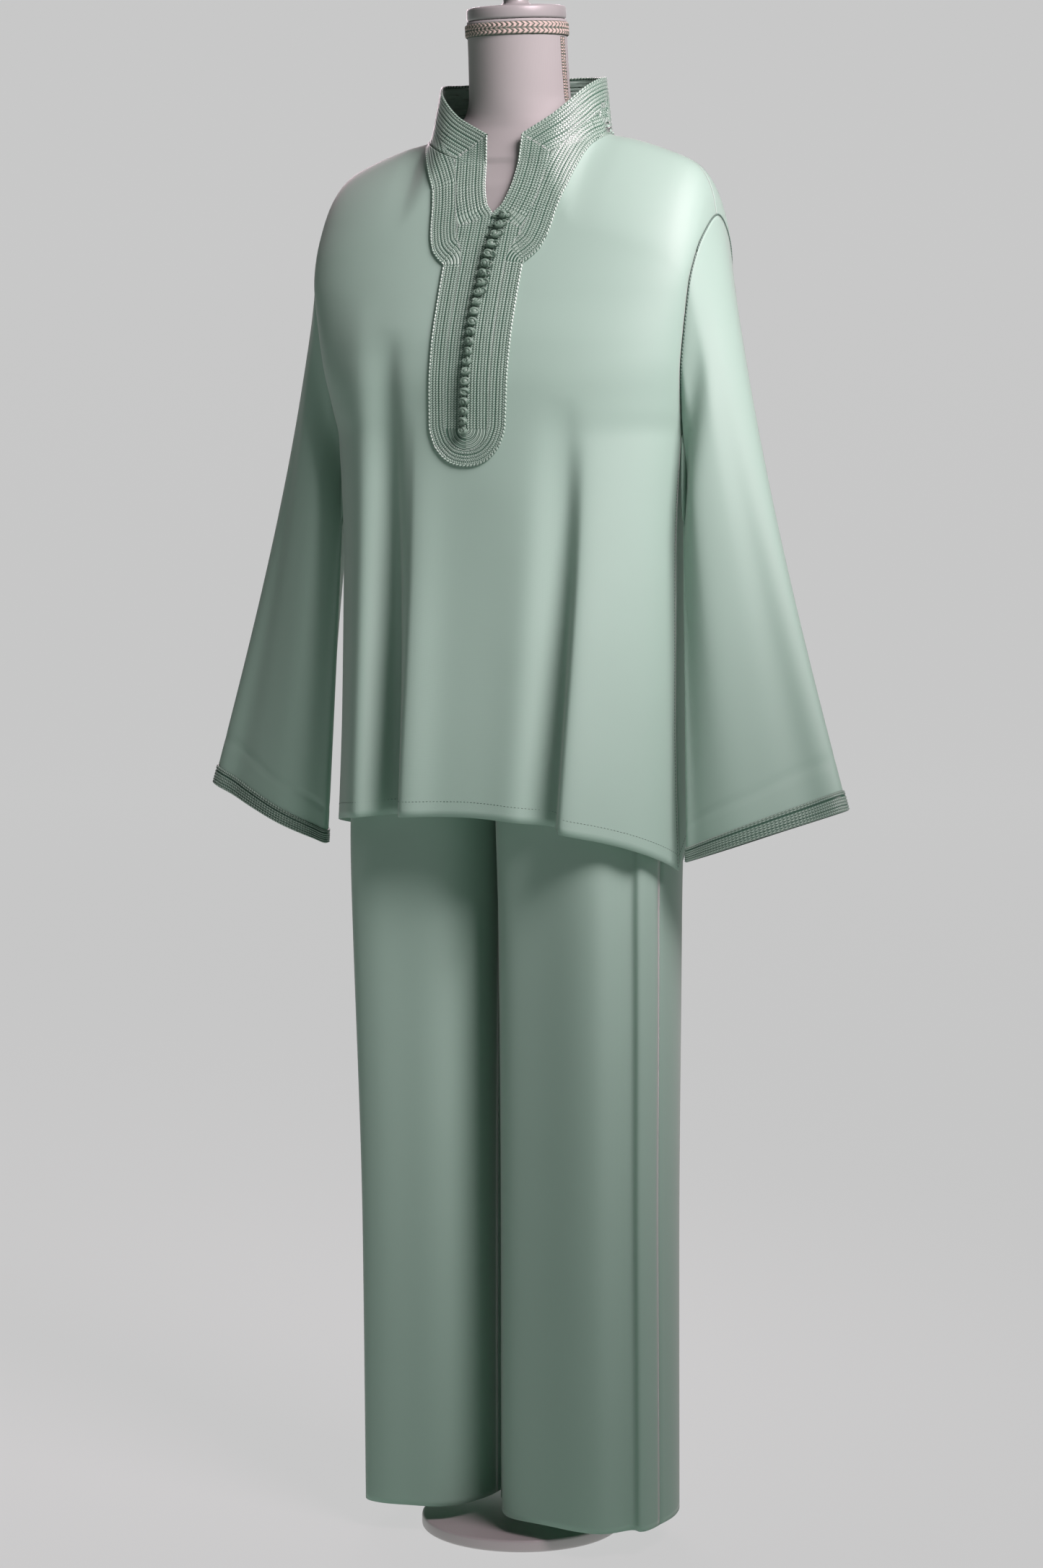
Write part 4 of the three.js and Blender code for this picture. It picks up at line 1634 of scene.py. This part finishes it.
@dataclass
class Knots:
    """The knotted buttons down the front, each with its loop."""

    shape: TunicShape
    count: int = 23
    first: float = 1309.0
    last: float = 1098.0
    radius: float = 4.4
    above: float = 2.0
    strand: float = 1.5
    turns: int = 3
    curls: int = 9
    curl_away: float = 5.6
    loop_long: float = 15.0
    loop_shorter: float = 8.0
    loop_strand: float = 1.0
    curl_strand: float = 1.1
    line: Table = field(
        default_factory=lambda: Table(
            "z", ("x",), ((1098, -1), (1200, 5), (1245, 9), (1280, 15), (1309, 24))
        )
    )

    def seat(self, index: int) -> tuple[Array, Array]:
        """Finds where one knot sits on the plastron.

        Args:
            index: the knot's number from the top, from 0.

        Returns:
            The knot's centre, and the way out of the cloth there.
        """
        z = mix(self.first, self.last, index / (self.count - 1))
        at_x, at_z = np.array([float(self.line("x", z))]), np.array([z])
        place = stack(at_x, self.shape.y(Face.FRONT, at_x, at_z), at_z)[0]
        out = self.shape.normal(Face.FRONT, at_x, at_z)[0]
        return place + out * (self.above + self.radius), out

    def knot(self, index: int) -> bpy.types.Object:
        """Makes one knot: a ball wound in three turns of cord.

        Args:
            index: the knot's number from the top, from 0.

        Returns:
            The knot.
        """
        centre, out = self.seat(index)
        bm = bmesh.new()
        bmesh.ops.create_icosphere(bm, subdivisions=2, radius=self.radius * 0.78 * MM)
        for vert in bm.verts:
            vert.co += Vector(centre * MM)
        turn = np.linspace(0, 2 * math.pi, 25)
        twist = 0.6 + 0.9 * index
        right = np.cross(out, [0.0, 0.0, 1.0])
        right /= np.linalg.norm(right)
        up = np.cross(right, out)
        wide = self.radius - self.strand
        for pair in range(self.turns):
            angle = twist + pair * math.pi / self.turns
            side = right * math.cos(angle) + up * math.sin(angle)
            across = np.cross(side, out)
            tilt = across * (0.8 - 0.3 * math.sin(twist * 2.3)) + out * 0.6
            tilt /= np.linalg.norm(tilt)
            ring = wide * (1.12 + 0.1 * math.sin(twist + 2 * pair)) * (
                np.cos(turn)[:, None] * side + np.sin(turn)[:, None] * tilt
            )
            ring += right * (ring @ right)[:, None] * 0.22 - up * (ring @ up)[:, None] * 0.1
            add_tube(bm, centre + ring, self.strand)
        for f in bm.faces:
            f.smooth = True
        return new_object(f"knot_{index + 1:02d}", bm)

    def loops(self) -> bpy.types.Object:
        """Makes the cord loops that hold the knots.

        Returns:
            All the loops as one piece.
        """
        bm = bmesh.new()
        for index in range(self.count):
            centre, out = self.seat(index)
            right = np.cross(out, [0.0, 0.0, 1.0])
            right /= -np.linalg.norm(right)
            up = np.cross(out, right)
            length = self.loop_long - self.loop_shorter * min(1.0, index / 7)
            share = np.linspace(0, 1, 20)
            bend = np.sin(share * math.pi)
            spot = centre - out * (self.radius - 0.9)
            path = (
                spot
                + right * (-length * bend)[:, None] * 0.9
                + up * ((share - 0.5) * 5.5)[:, None] * (1 - 0.45 * bend)[:, None]
            )
            add_tube(bm, path, self.loop_strand, 6)
            if index < self.curls:
                turn = np.linspace(0, 2 * math.pi, 21)
                curl = (
                    centre
                    + right * self.curl_away
                    + up * 1.5 * math.sin(index)
                    + right * (3.0 * np.cos(turn))[:, None]
                    + (up * 0.9 + out * 0.4) * (2.6 * np.sin(turn))[:, None]
                )
                add_tube(bm, curl, self.curl_strand, 6)
        return new_object("knot_loops", bm)

    def build(self, shop: Workshop) -> None:
        """Makes and places the knots and their loops.

        Args:
            shop: gives each piece its material and body.
        """
        # the knots and loops carry painted shade in their dark colour
        for index in range(self.count):
            shop.place(self.knot(index), SHADED_KNOT, [f"button_{index + 1:02d}"])
        shop.place(self.loops(), SHADED_KNOT)


@dataclass
class Trousers:
    """Wide trousers: four leg panels joined at the side, inner and centre seams."""

    hem: float = 28.0
    top: float = 971.9
    crotch_x: float = -22.0
    pucker: float = 0.7
    seam_gap: float = 0.3
    wall: float = 1.2
    swell: float = 9.0
    grid: tuple[int, int] = (56, 156)
    cloth_size: tuple[float, float] = (0.3, 0.95)
    band_low: float = 972.3
    band_high: float = 1006.0
    band_out: float = 2.8
    band_wall: float = 2.2
    band_grid: tuple[int, int] = (144, 10)
    line: Table = field(
        default_factory=lambda: Table(
            "z",
            ("out", "seam_y", "front", "back", "centre", "inset", "over"),
            (
                (28, 156, -30, 88, 80, 0, 4, 10),
                (300, 157, -31, 90, 84, 0, 4, 8),
                (600, 163, -31, 94, 92, 0, 2, 3),
                (728, 165, -22, 96, 100, 0, 0, 0),
                (735, 165, -20, 96, 101, 0.45, 0, 0),
                (752, 165, -16, 97, 102, 0.8, 0, 0),
                (790, 165, -8, 100, 106, 0.97, 0, 0),
                (850, 164, -2, 104, 110, 1, 0, 0),
                (900, 158, 0, 102, 108, 1, 0, 0),
                (940, 143, 0, 96, 99, 1, 0, 0),
                (972, 125, 0, 86, 83, 1, 0, 0),
            ),
        )
    )
    folds: dict[tuple[Side, Face], tuple[Fold, ...]] = field(
        default_factory=lambda: {
            (Side.LEFT, Face.FRONT): (
                Fold(0.12, 0.1, -16, 0),
                Fold(0.3, 0.09, 6, 0),
                Fold(0.5, 0.12, -5, 0),
                Fold(0.8, 0.06, -15, 0),
                Fold(0.94, 0.05, 4, 0),
            ),
            (Side.LEFT, Face.BACK): (
                Fold(0.3, 0.12, 7, 0),
                Fold(0.55, 0.1, -7, 0),
                Fold(0.78, 0.1, 5, 0),
            ),
            (Side.RIGHT, Face.FRONT): (
                Fold(0.24, 0.12, 4, 0),
                Fold(0.5, 0.13, -6, 0),
                Fold(0.8, 0.1, 6, 0),
            ),
            (Side.RIGHT, Face.BACK): (
                Fold(0.28, 0.12, 7, 0),
                Fold(0.52, 0.1, -7, 0),
                Fold(0.76, 0.1, 5, 0),
            ),
        }
    )

    def point(self, leg: Side, face: Face, share: Array, z: Array) -> Array:
        """Returns points of one leg panel.

        Args:
            leg: whose leg.
            face: the front or the back panel.
            share: 0 at the centre or inner seam, 1 at the side seam.
            z: heights.

        Returns:
            The points in millimetres.
        """
        side, sign = leg.value, face.value
        depth, centre = self.line(face.name.lower(), z), self.line("centre", z)
        seam_y = self.line("seam_y", z)
        open_share = 1 - centre
        turn = share * math.pi / 2
        crotch = self.crotch_x * np.clip((900 - z) / 150, 0, 1)
        start_x = crotch + side * (self.seam_gap / 2 + self.line("inset", z))
        reach = centre * np.sin(turn) + open_share * (1 - np.cos(2 * turn)) / 2
        swell = self.swell * np.sin(math.pi * share**2) if face is Face.BACK else 0.0
        end_x = side * self.line("out", z) + self.line("over", z)
        x = mix(start_x, end_x, reach) + side * swell
        bow = depth - sign * seam_y / 2
        half_turn = np.clip(np.sin(2 * turn), 0, 1)
        deep = depth * centre * np.cos(turn) + bow * open_share * half_turn**0.85
        grown = np.clip((880 - z) / 180, 0, 1)
        near_centre = np.where(open_share < 1, 1.0, 6 * share)
        calm = np.minimum(1, np.minimum(6 * (1 - share), near_centre))
        for f in self.folds[leg, face]:
            deep = deep + grown * calm * f.height(share)
        ripple = np.sin(z / 4.6 + 2 * np.sin(z / 31))
        deep = deep + self.pucker * ripple * calm * grown * bump(share - 0.95, 0.05)
        return stack(x, sign * (deep + self.seam_gap / 2) + seam_y * np.sin(turn) ** 2, z)

    def panel(self, leg: Side, face: Face) -> bpy.types.Object:
        """Makes one leg panel.

        Args:
            leg: whose leg.
            face: the front or the back panel.

        Returns:
            The panel, with its wall.
        """
        bm = bmesh.new()

        def place(u: Array, v: Array) -> Array:
            """Returns points of the panel from the waist down."""
            return self.point(leg, face, u, mix(self.top, self.hem, v))

        def inside(point: Vector) -> Point:
            """Returns the leg's own middle at the point's height."""
            return (0.07 if leg is Side.LEFT else -0.095, -0.005, point.z)

        add_grid(bm, *self.grid, place, inside, self.cloth_size)
        made = new_object(f"leg_{face.name.lower()}_{leg.name.lower()}_cloth", bm)
        thicken(made, self.wall)
        return made

    def waistband(self, form: "Form") -> bpy.types.Object:
        """Makes the waistband.

        Args:
            form: what it goes round.

        Returns:
            The waistband, with its wall.
        """
        bm = bmesh.new()

        def place(u: Array, v: Array) -> Array:
            """Returns points of the band's outer face."""
            return form.point(u, mix(self.band_low, self.band_high, v), self.band_out)

        add_grid(bm, *self.band_grid, place)
        bmesh.ops.remove_doubles(bm, verts=bm.verts, dist=WELD)
        made = new_object("waistband_cloth", bm)
        thicken(made, self.band_wall)
        return made

    def build(self, shop: Workshop, form: "Form") -> None:
        """Makes and places the trousers.

        Args:
            shop: gives each piece its material and body.
            form: what the waistband goes round.
        """
        band = shop.place(self.waistband(form), MINT, ["waistband"])
        for leg in Side:
            for face in Face:
                node = f"leg_{face.name.lower()}_{leg.name.lower()}"
                panel = shop.place(self.panel(leg, face), MINT, [node])


@dataclass
class Form:
    """The padded dress form under the clothes, with its neck trims and cap."""

    shape: TunicShape
    bottom: float = 800.0
    neck_top: float = 1511.0
    clear: float = 1.2
    neck_clear: float = 2.8
    power: float = 2.25
    cloth: float = 1.5
    shoulder_step: float = 0.5
    grid: tuple[int, int] = (96, 220)
    neck_lean: float = 0.1
    neck_tilt: float = 0.08
    lean_from: float = 1400.0
    gimp_low: float = 1494.5
    gimp_high: float = 1508.5
    gimp_wall: float = 0.6
    gimp_grid: tuple[int, int] = (400, 14)
    gimp_twists: int = 64
    side_gimp_low: float = 1424.0
    side_gimp_high: float = 1493.0
    side_gimp_width: float = 0.026
    side_gimp_grid: tuple[int, int] = (10, 160)
    side_gimp_twists: int = 20
    line: Table = field(
        default_factory=lambda: Table(
            "z",
            ("side", "front", "back"),
            (
                (800, 138, 78, 84),
                (812, 144, 84, 91),
                (850, 147, 92, 96),
                (900, 141, 91, 95),
                (940, 128, 85, 87),
                (972, 118, 80, 78),
                (1006, 113, 78, 72),
                (1050, 121, 88, 76),
                (1100, 136, 104, 84),
                (1160, 148, 113, 90),
                (1210, 156, 103, 94),
                (1260, 168, 91, 94),
                (1305, 182, 78, 87),
                (1335, 190, 70, 80),
                (1352, 187, 66, 75),
                (1366, 180, 62, 70),
                (1378, 160, 58, 66),
                (1388, 125, 55, 62),
                (1395, 97, 53, 58),
                (1403, 74, 51, 54),
                (1415, 58, 50, 51),
                (1435, 51.5, 50, 50),
                (1495, 50, 50, 50),
                (1511, 50, 50, 50),
            ),
        )
    )
    cap_profile: tuple[tuple[float, float], ...] = (
        (0, 0.3),
        (47, 0.3),
        (49.4, 1.2),
        (50, 3),
        (50, 11),
        (49.2, 13),
        (46, 14),
        (16, 16),
        (13, 18.5),
        (12.5, 22),
        (13.2, 26),
        (15, 28),
        (22, 30.4),
        (28, 34),
        (32, 39.5),
        (33.5, 47),
        (33, 54),
        (30, 61),
        (25, 67.5),
        (17, 72),
        (8, 74.5),
        (0, 75),
    )

    def fit(self, across: Array) -> Array:
        """Returns how far the form stays inside the tunic's outer face."""
        return self.cloth + self.clear + self.neck_clear * bump(across - 86, 24)

    def point(self, turn: Array, z: Array, out: float = 0.0) -> Array:
        """Returns points of the form.

        Args:
            turn: 0 at the wearer's left, a quarter turn at the back.
            z: heights.
            out: how far outside the form, in millimetres.

        Returns:
            The points in millimetres.
        """
        turn, z = np.broadcast_arrays(np.asarray(turn, float), np.asarray(z, float))
        cos, sin = np.cos(turn * 2 * math.pi), np.sin(turn * 2 * math.pi)
        curve = 2 / mix(self.power, 2, np.clip((z - 1380) / 40, 0, 1))
        side = self.line("side", z)
        for _ in range(400):
            high = (z < 1395) & (self.shape.shoulder("z", side) < z + self.fit(side))
            if not high.any():
                break
            side = np.where(high, side - self.shoulder_step, side)
        x = side * np.sign(cos) * np.abs(cos) ** curve
        away = np.abs(x)
        depth = np.where(sin < 0, self.line("front", z), self.line("back", z))
        y = depth * np.sign(sin) * np.abs(sin) ** curve
        front_top, back_top = self.shape.neckline("front", away), self.shape.neckline("back", away)
        neckline = np.where(sin < 0, front_top, back_top)
        top = np.where(away < self.shape.neck_half, neckline, 1395.0)
        covered = (z > 1100) & (z < top + np.where(away > 60, 16, 4))
        fit = self.fit(away)
        front = np.abs(self.shape.y(Face.FRONT, x, z + fit, 0.0))
        back = np.abs(self.shape.y(Face.BACK, x, z + fit, 0.0))
        reach = np.where(sin < 0, front, back) - fit
        held = np.sign(y) * np.minimum(np.abs(y), np.maximum(4 * np.abs(sin), reach))
        y = np.where(covered, held, y)
        lean = -self.neck_lean * np.maximum(0, z - self.lean_from)
        tilt = self.neck_tilt * np.clip((z - 1440) / 70, 0, 1) * y
        return stack(x + out * cos, y + lean + out * sin, z + tilt)

    def body(self) -> bpy.types.Object:
        """Makes the padded body and neck, closed at both ends.

        Returns:
            The form's body.
        """
        bm = bmesh.new()

        def place(u: Array, v: Array) -> Array:
            """Returns points of the form from the bottom up."""
            return self.point(u, mix(self.bottom, self.neck_top, v))

        add_grid(bm, *self.grid, place)
        bmesh.ops.remove_doubles(bm, verts=bm.verts, dist=WELD)
        rims = [e for e in bm.edges if e.is_boundary]
        bmesh.ops.holes_fill(bm, edges=rims, sides=0)
        bmesh.ops.recalc_face_normals(bm, faces=bm.faces)
        return new_object("dress_form", bm)

    def gimp(self) -> bpy.types.Object:
        """Makes the trim round the top of the neck.

        Returns:
            The trim, with its wall.
        """
        bm = bmesh.new()

        def place(u: Array, v: Array) -> Array:
            """Works out points of the trim, twisted and with rounded edges.

            Args:
                u: places across, 0 to 1.
                v: places along, 0 to 1.

            Returns:
                The points in millimetres.
            """
            z = mix(self.gimp_low, self.gimp_high, v)
            edge = np.clip(np.minimum(v, 1 - v) * 8, 0, 1) ** 0.5
            turns = u * 2 * math.pi * self.gimp_twists
            ripple = 0.35 * np.sin(turns + 5 * np.abs(v - 0.5))
            base = self.point(u, z, 0.4)
            away = self.point(u, z, 1.4) - base
            return base + away * (edge * (1.5 + ripple))[:, None]

        add_grid(bm, *self.gimp_grid, place)
        map_cord(bm, lambda u, v: (u * 60, v * 2))
        bmesh.ops.remove_doubles(bm, verts=bm.verts, dist=WELD)
        made = new_object("neck_gimp_ring", bm)
        thicken(made, self.gimp_wall)
        return made

    def side_gimp(self, middle: float, name: str) -> bpy.types.Object:
        """Makes one narrow trim down the side of the neck.

        Args:
            middle: the turn round the neck where it lies.
            name: the trim's name.

        Returns:
            The trim, with its wall.
        """
        bm = bmesh.new()

        def place(u: Array, v: Array) -> Array:
            """Works out points of the trim, twisted and with rounded edges.

            Args:
                u: places across, 0 to 1.
                v: places along, 0 to 1.

            Returns:
                The points in millimetres.
            """
            z = mix(self.side_gimp_low, self.side_gimp_high, v)
            turn = middle + (u - 0.5) * self.side_gimp_width
            edge = np.clip(np.minimum(u, 1 - u) * 5, 0, 1) ** 0.5
            turns = v * 2 * math.pi * self.side_gimp_twists
            ripple = 0.3 * np.sin(turns + 4 * np.abs(u - 0.5))
            base = self.point(turn, z, 0.3)
            away = self.point(turn, z, 1.3) - base
            return base + away * (edge * (1.3 + ripple))[:, None]

        add_grid(bm, *self.side_gimp_grid, place)
        map_cord(bm, lambda u, v: (u * 2, v * 24))
        made = new_object(name, bm)
        thicken(made, self.gimp_wall)
        return made

    def cap(self) -> bpy.types.Object:
        """Turns the cap and knob on top of the neck.

        Returns:
            The cap.
        """
        bm = bmesh.new()
        verts = [bm.verts.new((r * MM, 0, z * MM)) for r, z in self.cap_profile]
        edges = [bm.edges.new(pair) for pair in zip(verts[:-1], verts[1:])]
        bmesh.ops.spin(
            bm, geom=verts + edges, cent=(0, 0, 0), axis=(0, 0, 1), angle=2 * math.pi, steps=96,
            use_merge=True,
        )
        bmesh.ops.remove_doubles(bm, verts=bm.verts, dist=WELD)
        bmesh.ops.recalc_face_normals(bm, faces=bm.faces)
        tilt = math.atan(self.neck_tilt)
        forward = self.neck_lean * (self.neck_top - self.lean_from) * MM
        for vert in bm.verts:
            x, y, z = vert.co
            vert.co = (
                x,
                y * math.cos(tilt) - z * math.sin(tilt) - forward,
                y * math.sin(tilt) + z * math.cos(tilt) + self.neck_top * MM,
            )
        for f in bm.faces:
            f.smooth = True
        return new_object("neck_cap_turned", bm)

    def build(self, shop: Workshop) -> None:
        """Makes and places the form.

        Args:
            shop: gives each piece its material and body.
        """
        body = shop.place(self.body(), CANVAS, ["form_body"])
        for f in body.data.polygons:
            f.use_smooth = len(f.vertices) == 4
        shop.place(self.gimp(), GIMP, ["neck_braid_ring"])
        shop.place(self.side_gimp(0.0, "neck_gimp_left"), GIMP, ["neck_braid_left"])
        shop.place(self.side_gimp(0.5, "neck_gimp_right"), GIMP, ["neck_braid_right"])
        shop.place(self.cap(), CAP, ["neck_cap"])


@dataclass
class Stand:
    """The pole and the round base plate."""

    pole_radius: float = 12.5
    pole_top: float = 799.7
    base_radius: float = 100.0
    base_height: float = 12.0
    gap: float = 0.3
    pole_edge: float = 0.5
    base_edge: float = 2.5

    def cylinder(
        self, name: str, radius: float, low: float, high: float, sides: int, edge: float
    ) -> bpy.types.Object:
        """Makes an upright cylinder with its rims rounded.

        Args:
            name: the piece's name.
            radius: its radius, in millimetres like the other sizes.
            low: the height of its underside.
            high: the height of its top.
            sides: number of faces round it.
            edge: how far its rims are rounded.

        Returns:
            The cylinder.
        """
        bm = bmesh.new()
        bmesh.ops.create_cone(
            bm, cap_ends=True, segments=sides, radius1=radius * MM, radius2=radius * MM,
            depth=(high - low) * MM,
        )
        for vert in bm.verts:
            vert.co.z += (high + low) / 2 * MM
        rims = [e for e in bm.edges if abs(e.verts[0].co.z - e.verts[1].co.z) < 1e-6]
        bmesh.ops.bevel(
            bm, geom=rims, offset=edge * MM, segments=4, profile=0.5, affect="EDGES", material=-1
        )
        for f in bm.faces:
            f.smooth = True
        return new_object(name, bm)

    def build(self, shop: Workshop) -> None:
        """Makes and places the stand.

        Args:
            shop: gives each piece its material and body.
        """
        low, edge = self.base_height + self.gap, self.pole_edge
        pole = self.cylinder("pole_tube", self.pole_radius, low, self.pole_top, 48, edge)
        high, edge = self.base_height, self.base_edge
        base = self.cylinder("base_plate", self.base_radius, 0.0, high, 128, edge)
        shop.place(pole, METAL, ["pole"])
        shop.place(base, METAL, ["base"])


@dataclass(frozen=True)
class Lamp:
    """One area light: where it stands round the part and the height that it looks at.

    Azimuth and spread are in degrees, power in watts and the rest in metres.
    """

    name: str
    azimuth: float
    up: float
    away: float
    size: float
    power: float
    spread: float
    aim: float


@dataclass
class Studio:
    """The floor, the lights and the camera, in metres and degrees."""

    azimuth: float = 26.5
    distance: float = 3.5
    eye: float = 1.05
    middle: float = 0.7439
    half_view: float = 0.7899
    lens: float = 79.76
    floor_colour: Point = (0.08, 0.08, 0.08)
    backdrop_behind: float = 8.0
    backdrop_bend: float = 2.0
    backdrop_reach: float = 9.0
    backdrop_height: float = 7.0
    backdrop_steps: int = 16
    backdrop_glow: float = 0.56
    ambient: float = 0.02
    ambient_colour: Point = (0.6, 0.6, 0.6)
    lamp_colour: Point = (1.0, 0.79, 0.88)
    lamps: tuple[Lamp, ...] = (
        Lamp("key", 63, 2.15, 1.4, 0.9, 8.8, 52, 1.15),
        Lamp("fill_behind", 212, 1.9, 2.2, 1.2, 7.0, 90, 0.95),
    )

    def direction(self, azimuth: float, up: float, distance: float) -> Vector:
        """Finds a place round the part.

        Args:
            azimuth: the turn from the front, in degrees.
            up: its height.
            distance: how far from the part's axis it is.

        Returns:
            The place.
        """
        turn = math.radians(azimuth)
        return Vector((math.sin(turn) * distance, -math.cos(turn) * distance, up))

    def backdrop(self) -> None:
        """Makes the pale floor that sweeps up into a wall behind the part."""
        bm = bmesh.new()
        back = math.radians(self.azimuth)
        behind = Vector((-math.sin(back), math.cos(back), 0))
        beside = Vector((math.cos(back), math.sin(back), 0))
        bend = self.backdrop_bend
        profile = [(-self.backdrop_reach, 0.0)]
        for step in range(self.backdrop_steps + 1):
            turn = step / self.backdrop_steps * math.pi / 2
            profile.append(
                (self.backdrop_behind + bend * math.sin(turn), bend * (1 - math.cos(turn)))
            )
        profile.append((self.backdrop_behind + bend, self.backdrop_height))
        ends = (-self.backdrop_reach, self.backdrop_reach)
        rows = [
            [bm.verts.new(behind * y + beside * x + Vector((0, 0, z))) for x in ends]
            for y, z in profile
        ]
        for low, high in zip(rows[:-1], rows[1:]):
            bm.faces.new((low[0], low[1], high[1], high[0])).smooth = True
        made = new_object("backdrop", bm)
        paint = bpy.data.materials.new("backdrop")
        paint.use_nodes = True
        shader = paint.node_tree.nodes["Principled BSDF"]
        shader.inputs["Base Color"].default_value = (*self.floor_colour, 1)
        shader.inputs["Roughness"].default_value = 0.95
        shader.inputs["Specular IOR Level"].default_value = 0.0
        shader.inputs["Emission Color"].default_value = (1, 1, 1, 1)
        shader.inputs["Emission Strength"].default_value = self.backdrop_glow
        made.data.materials.append(paint)

    def world(self) -> None:
        """Sets the dim surroundings."""
        world = bpy.data.worlds.new("surroundings")
        world.use_nodes = True
        ground = world.node_tree.nodes["Background"]
        ground.inputs["Color"].default_value = (*self.ambient_colour, 1)
        ground.inputs["Strength"].default_value = self.ambient
        bpy.context.scene.world = world

    def light(self, lamp_from: Lamp) -> None:
        """Adds one area light.

        Args:
            lamp_from: where it stands and what it looks at.
        """
        lamp = bpy.data.lights.new(lamp_from.name, "AREA")
        lamp.shape = "SQUARE"
        lamp.size = lamp_from.size
        lamp.energy = lamp_from.power
        lamp.color = self.lamp_colour
        lamp.spread = math.radians(lamp_from.spread)
        made = bpy.data.objects.new(lamp_from.name, lamp)
        made.location = self.direction(lamp_from.azimuth, lamp_from.up, lamp_from.away)
        look = Vector((0, 0, lamp_from.aim)) - made.location
        made.rotation_euler = look.to_track_quat("-Z", "Y").to_euler()
        bpy.context.scene.collection.objects.link(made)

    def camera(self) -> None:
        """Adds the camera, level, at the photograph's angle, with its lens shifted down."""
        lens = bpy.data.cameras.new("camera")
        lens.lens = self.lens
        lens.shift_y = (self.middle - self.eye) / (2 * self.half_view)
        made = bpy.data.objects.new("camera", lens)
        made.location = self.direction(self.azimuth, self.eye, self.distance)
        made.rotation_euler = (math.pi / 2, 0, math.radians(self.azimuth))
        bpy.context.scene.collection.objects.link(made)
        bpy.context.scene.camera = made

    def build(self) -> None:
        """Sets the stage."""
        self.backdrop()
        self.world()
        for lamp in self.lamps:
            self.light(lamp)
        self.camera()
        bpy.context.scene.view_settings.view_transform = "Standard"


def main() -> None:
    """Builds the jabador, the form and the stage, in order."""
    logging.basicConfig(level=logging.INFO)
    shop = Workshop()
    shape = TunicShape()
    form = Form(shape)
    LOG.info("tunic")
    Tunic(shape).build(shop)
    for side in Side:
        Sleeve(shape, side).build(shop)
    LOG.info("braid and knots")
    Braidwork(shape).build(shop)
    Knots(shape).build(shop)
    LOG.info("trousers")
    Trousers().build(shop, form)
    LOG.info("form and stand")
    form.build(shop)
    Stand().build(shop)
    LOG.info("stage")
    Studio().build()


if __name__ == "__main__":
    main()
